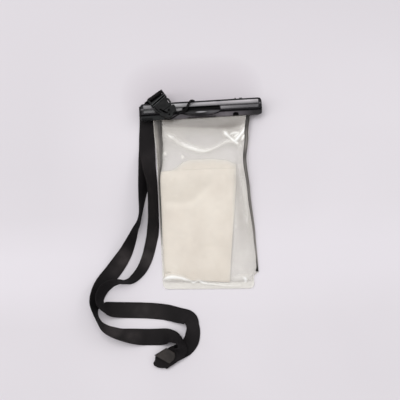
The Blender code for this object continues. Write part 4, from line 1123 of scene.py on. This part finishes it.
def make_socket():
    plate = ((8.4, -6.6), (16.2, -6.2), (18.2, -5.2), (18.2, 5.2), (16.2, 6.2), (8.4, 6.6))
    panel = ((10.6, -3.9), (13.2, -5.3), (18.2, -3.4), (18.2, 5.2), (12.9, 6.1), (9.0, 4.7))
    recess = ((14.9, -4.9), (18.1, -3.65), (18.1, -2.2), (15.4, -3.6))
    in_buckle("socket_shell", (
        (rectangle(0.8, -8.4, 2.5, 8.4), 0.0, 4.6, 0.2),
        (rectangle(0.5, -8.4, 8.6, -6.9), 0.0, 5.2, 0.3),
        (rectangle(0.5, 6.9, 8.6, 8.4), 0.0, 5.2, 0.3),
        (rectangle(5.2, -8.2, 9.0, 8.2), 0.0, 5.0, 0.2),
        (plate, 4.2, 5.1, 0.15),
        (plate, 0.0, 1.0, 0.15),
        (panel, 5.0, 5.5, 0.2),
    ), BUCKLE_PLASTIC, "front_jaw", "buckle_socket")
    # Painted highlight on the ridges
    in_buckle("socket_ridges", (
        (rectangle(5.5, -7.8, 6.1, 7.8, 1.6), 4.9, 5.5, 0.15),
        (rectangle(7.7, -7.8, 8.3, 7.8, 1.4), 4.9, 5.5, 0.15),
    ), BUCKLE_RIDGE_LIT, "front_jaw")
    # Painted shade in the groove, the slot and the recess
    in_buckle("socket_groove", (
        (rectangle(4.3, -6.9, 5.2, 6.9), 1.0, 5.0, 0.1),
        (rectangle(6.3, -7.6, 7.6, 7.6, 1.5), 4.9, 5.1, 0.05),
        (recess, 4.9, 5.58, 0.05),
    ), BUCKLE_HOLLOW_SHADE, "front_jaw")


def make_plug_trim():
    """Trim on the plug's own solid, which stays."""
    shoulder = ((18.5, 5.0), (25.9, 3.0), (25.7, 5.8), (24.4, 7.9), (21.6, 9.1), (19.2, 9.2), (18.5, 8.4))
    tip = ((18.5, -3.2), (21.8, -1.0), (21.0, 2.6), (18.5, 4.8))
    recess = ((18.6, -3.45), (20.5, -2.7), (22.9, -0.9), (22.1, -0.1), (18.6, -1.95))
    dot = [(20.9 + 0.9 * math.cos(t), 2.1 + 0.9 * math.sin(t)) for t in np.arange(10) * math.pi / 5]
    in_buckle("plug_trim", ((shoulder, 0.8, 4.5, 0.4), (tip, 4.7, 5.4, 0.2)), BUCKLE_PLASTIC, "buckle_plug")
    # Painted shade in the dimple and the recess
    in_buckle("plug_dimple", ((dot, 5.2, 5.5, 0.05), (recess, 4.8, 5.5, 0.05)), BUCKLE_HOLLOW_SHADE, "buckle_plug")


make_socket()
make_plug_trim()

# Webbing round the buckle's end bar, and the two tails of it that come up from behind the clamp

STUB_WIDTH = 12.9
TAIL_WIDTH = 11.2
# (a, height) round the end bar, from the inner tail to the outer one
STUB_TURN = (
    (1.2, -1.6), (2.4, -1.1), (3.0, 0.8), (3.0, 3.6), (2.6, 4.9), (1.6, 5.35), (0.8, 5.0), (0.5, 3.4),
    (0.4, 1.0), (-0.2, -1.4),
)
# How far the turn's ends drift left for each millimetre below the buckle
STUB_DRIFT = 0.55
TAIL_OUTER = (
    (-50.2, 88.0, 0.9), (-49.9, 89.4, 1.0), (-49.3, 91.0, 2.0), (-47.9, 92.8, 5.0), (-46.3, 94.3, 9.2),
    (-44.7, 95.3, 13.9),
)
TAIL_INNER = (
    (-50.2, 88.0, 2.0), (-49.8, 89.0, 2.2), (-49.2, 90.4, 3.4), (-48.0, 93.0, 6.4), (-46.0, 94.2, 10.2),
    (-43.95, 94.7, 13.7),
)
TAIL_LOWEST = 0.1
# The way across the buckle, along its end bar
BAR_ACROSS = Vector((-math.sin(math.radians(BUCKLE_ANGLE)), math.cos(math.radians(BUCKLE_ANGLE)), 0))


def make_turn():
    stations = []
    for a, height in STUB_TURN:
        x, y, z = beside(a, 0.0, height)
        stations.append((x + STUB_DRIFT * min(0.0, height), y, z, 0))
    loop = on_curve(stations, 5)
    stub = webbing("strap_stub_webbing", *tape_mesh(loop, STUB_WIDTH, [BAR_ACROSS] * len(loop)))
    settle(stub, "front_jaw", "strap_stub")


def make_tails():
    """Both tails as one piece. Each turns on its way to the buckle."""
    points, uvs, faces = [], [], []
    for route in (TAIL_OUTER, TAIL_INNER):
        places = on_curve([(*p, 0) for p in route], 6)
        turns = smooth(3.2 * np.linspace(0, 1, len(places)))
        across_each = [Vector((1, 0, 0)).lerp(BAR_ACROSS, float(t)) for t in turns]
        tail_points, tail_uvs, tail_faces = tape_mesh(places, TAIL_WIDTH, across_each)
        faces += [[len(points) + i for i in face] for face in tail_faces]
        points += [Vector((p.x, p.y, max(p.z, TAIL_LOWEST))) for p in tail_points]
        uvs += tail_uvs
    tails = webbing("strap_turn", points, uvs, faces)
    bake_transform(tails)


make_turn()
make_tails()

# Cord: out from the plug's hole, up to a knot on the clamp, and back to the left eyelet

CORD_DIAMETER = 1.1
HOLE_X, HOLE_Y, _ = beside(PLUG_HOLE, 0.0)
CORD_OUT = (
    (HOLE_X, HOLE_Y, 19.6), (HOLE_X, HOLE_Y, 16.2), (HOLE_X + 0.5, HOLE_Y + 0.2, 14.6),
    (HOLE_X + 2.2, HOLE_Y + 0.9, 14.2), (-25.3, 76.4, 14.9), (-22.8, 77.1, 16.6), (-20.2, 77.8, 17.5),
    (-17.4, 78.2, 17.7), (-14.9, 79.6, 17.7), (-13.2, 82.0, 17.7), (-11.8, 84.8, 17.7),
    (-10.4, 86.6, 18.0),
)
KNOT_TURN = (
    (-9.2, 87.5, 18.4), (-8.0, 87.6, 18.8), (-6.7, 87.3, 18.7), (-5.8, 86.9, 18.2), (-6.8, 86.6, 17.8),
    (-8.4, 86.8, 17.8), (-9.0, 87.1, 18.8), (-7.8, 87.0, 19.2), (-7.2, 86.8, 18.6), (-8.6, 86.2, 18.2),
)
CORD_BACK = (
    (-10.2, 85.2, 17.7), (-11.6, 82.6, 17.7), (-12.8, 80.2, 17.7), (-14.8, 77.9, 17.7),
    (-18.6, 76.2, 17.4), (-23.4, 74.2, 16.2), (-27.4, 72.3, 14.7), (-31.0, 71.6, 13.3),
    (-33.0, 73.2, 12.8),
)


def braided(name, places, radius, material, sides=10, pitch=2.4):
    """A round cord with shallow spiral strands. Its UV runs along and round it, in millimetres."""
    points, uvs, travelled = [], [], 0.0
    across = Vector((1, 0, 0))
    for k, centre in enumerate(places):
        before, after = places[max(k - 1, 0)], places[min(k + 1, len(places) - 1)]
        along = (after - before).normalized()
        across = (across - along * across.dot(along)).normalized()
        other = along.cross(across)
        travelled += (centre - before).length
        for i in range(sides):
            turn = 2 * math.pi * i / sides
            strand = radius * (1 + 0.07 * math.cos(4 * turn - 2 * math.pi * travelled / pitch))
            points.append(centre + (across * math.cos(turn) + other * math.sin(turn)) * strand)
            uvs.append((travelled, radius * turn))
    return mesh_object(name, points, tube_faces(len(places), sides), material, uvs)


def make_cord():
    places = on_curve(CORD_OUT + KNOT_TURN + CORD_BACK, 7)
    cord = braided("buckle_cord", places, CORD_DIAMETER / 2, CORD)
    settle(cord, "buckle_plug", "cord_loop")


make_cord()

# Two nubs on the clamp's far edge, by its right hinge

nubs = slabs("hinge_nubs", (
    (((31.7, 87.6), (33.9, 87.6), (33.5, 89.2), (32.3, 89.3)), 9.6, 12.4, 0.2),
    (((36.2, 87.6), (39.8, 87.6), (39.2, 89.1), (36.8, 89.2)), 9.6, 12.4, 0.2),
), BLACK_PLASTIC)
settle(nubs, "front_jaw")

# Materials of the solids that stay

LOOKS = {
    "rear_jaw": BLACK_PLASTIC, "front_jaw": CLAMP, "thumb_latch": LATCH, "buckle_plug": BUCKLE_PLASTIC,
    "hinge_pin_left": PIN_METAL, "hinge_pin_right": PIN_METAL, "latch_pin": PIN_METAL,
    "inlay_upper": UPPER_INLAY, "inlay_lower_left": LOWER_INLAY, "inlay_lower_right": LOWER_INLAY,
    "seal_gasket": SEAL_RUBBER,
}
for node, look in LOOKS.items():
    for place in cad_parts[node].material_slots:
        place.material = look

# Floor

FLOOR_HALF = 2500
FLOOR_Z = -0.05
corners = [(x * FLOOR_HALF, y * FLOOR_HALF, FLOOR_Z) for x, y in ((-1, -1), (1, -1), (1, 1), (-1, 1))]
floor = mesh_object("floor", corners, [[0, 1, 2, 3]], floor_paint(), smooth=False)
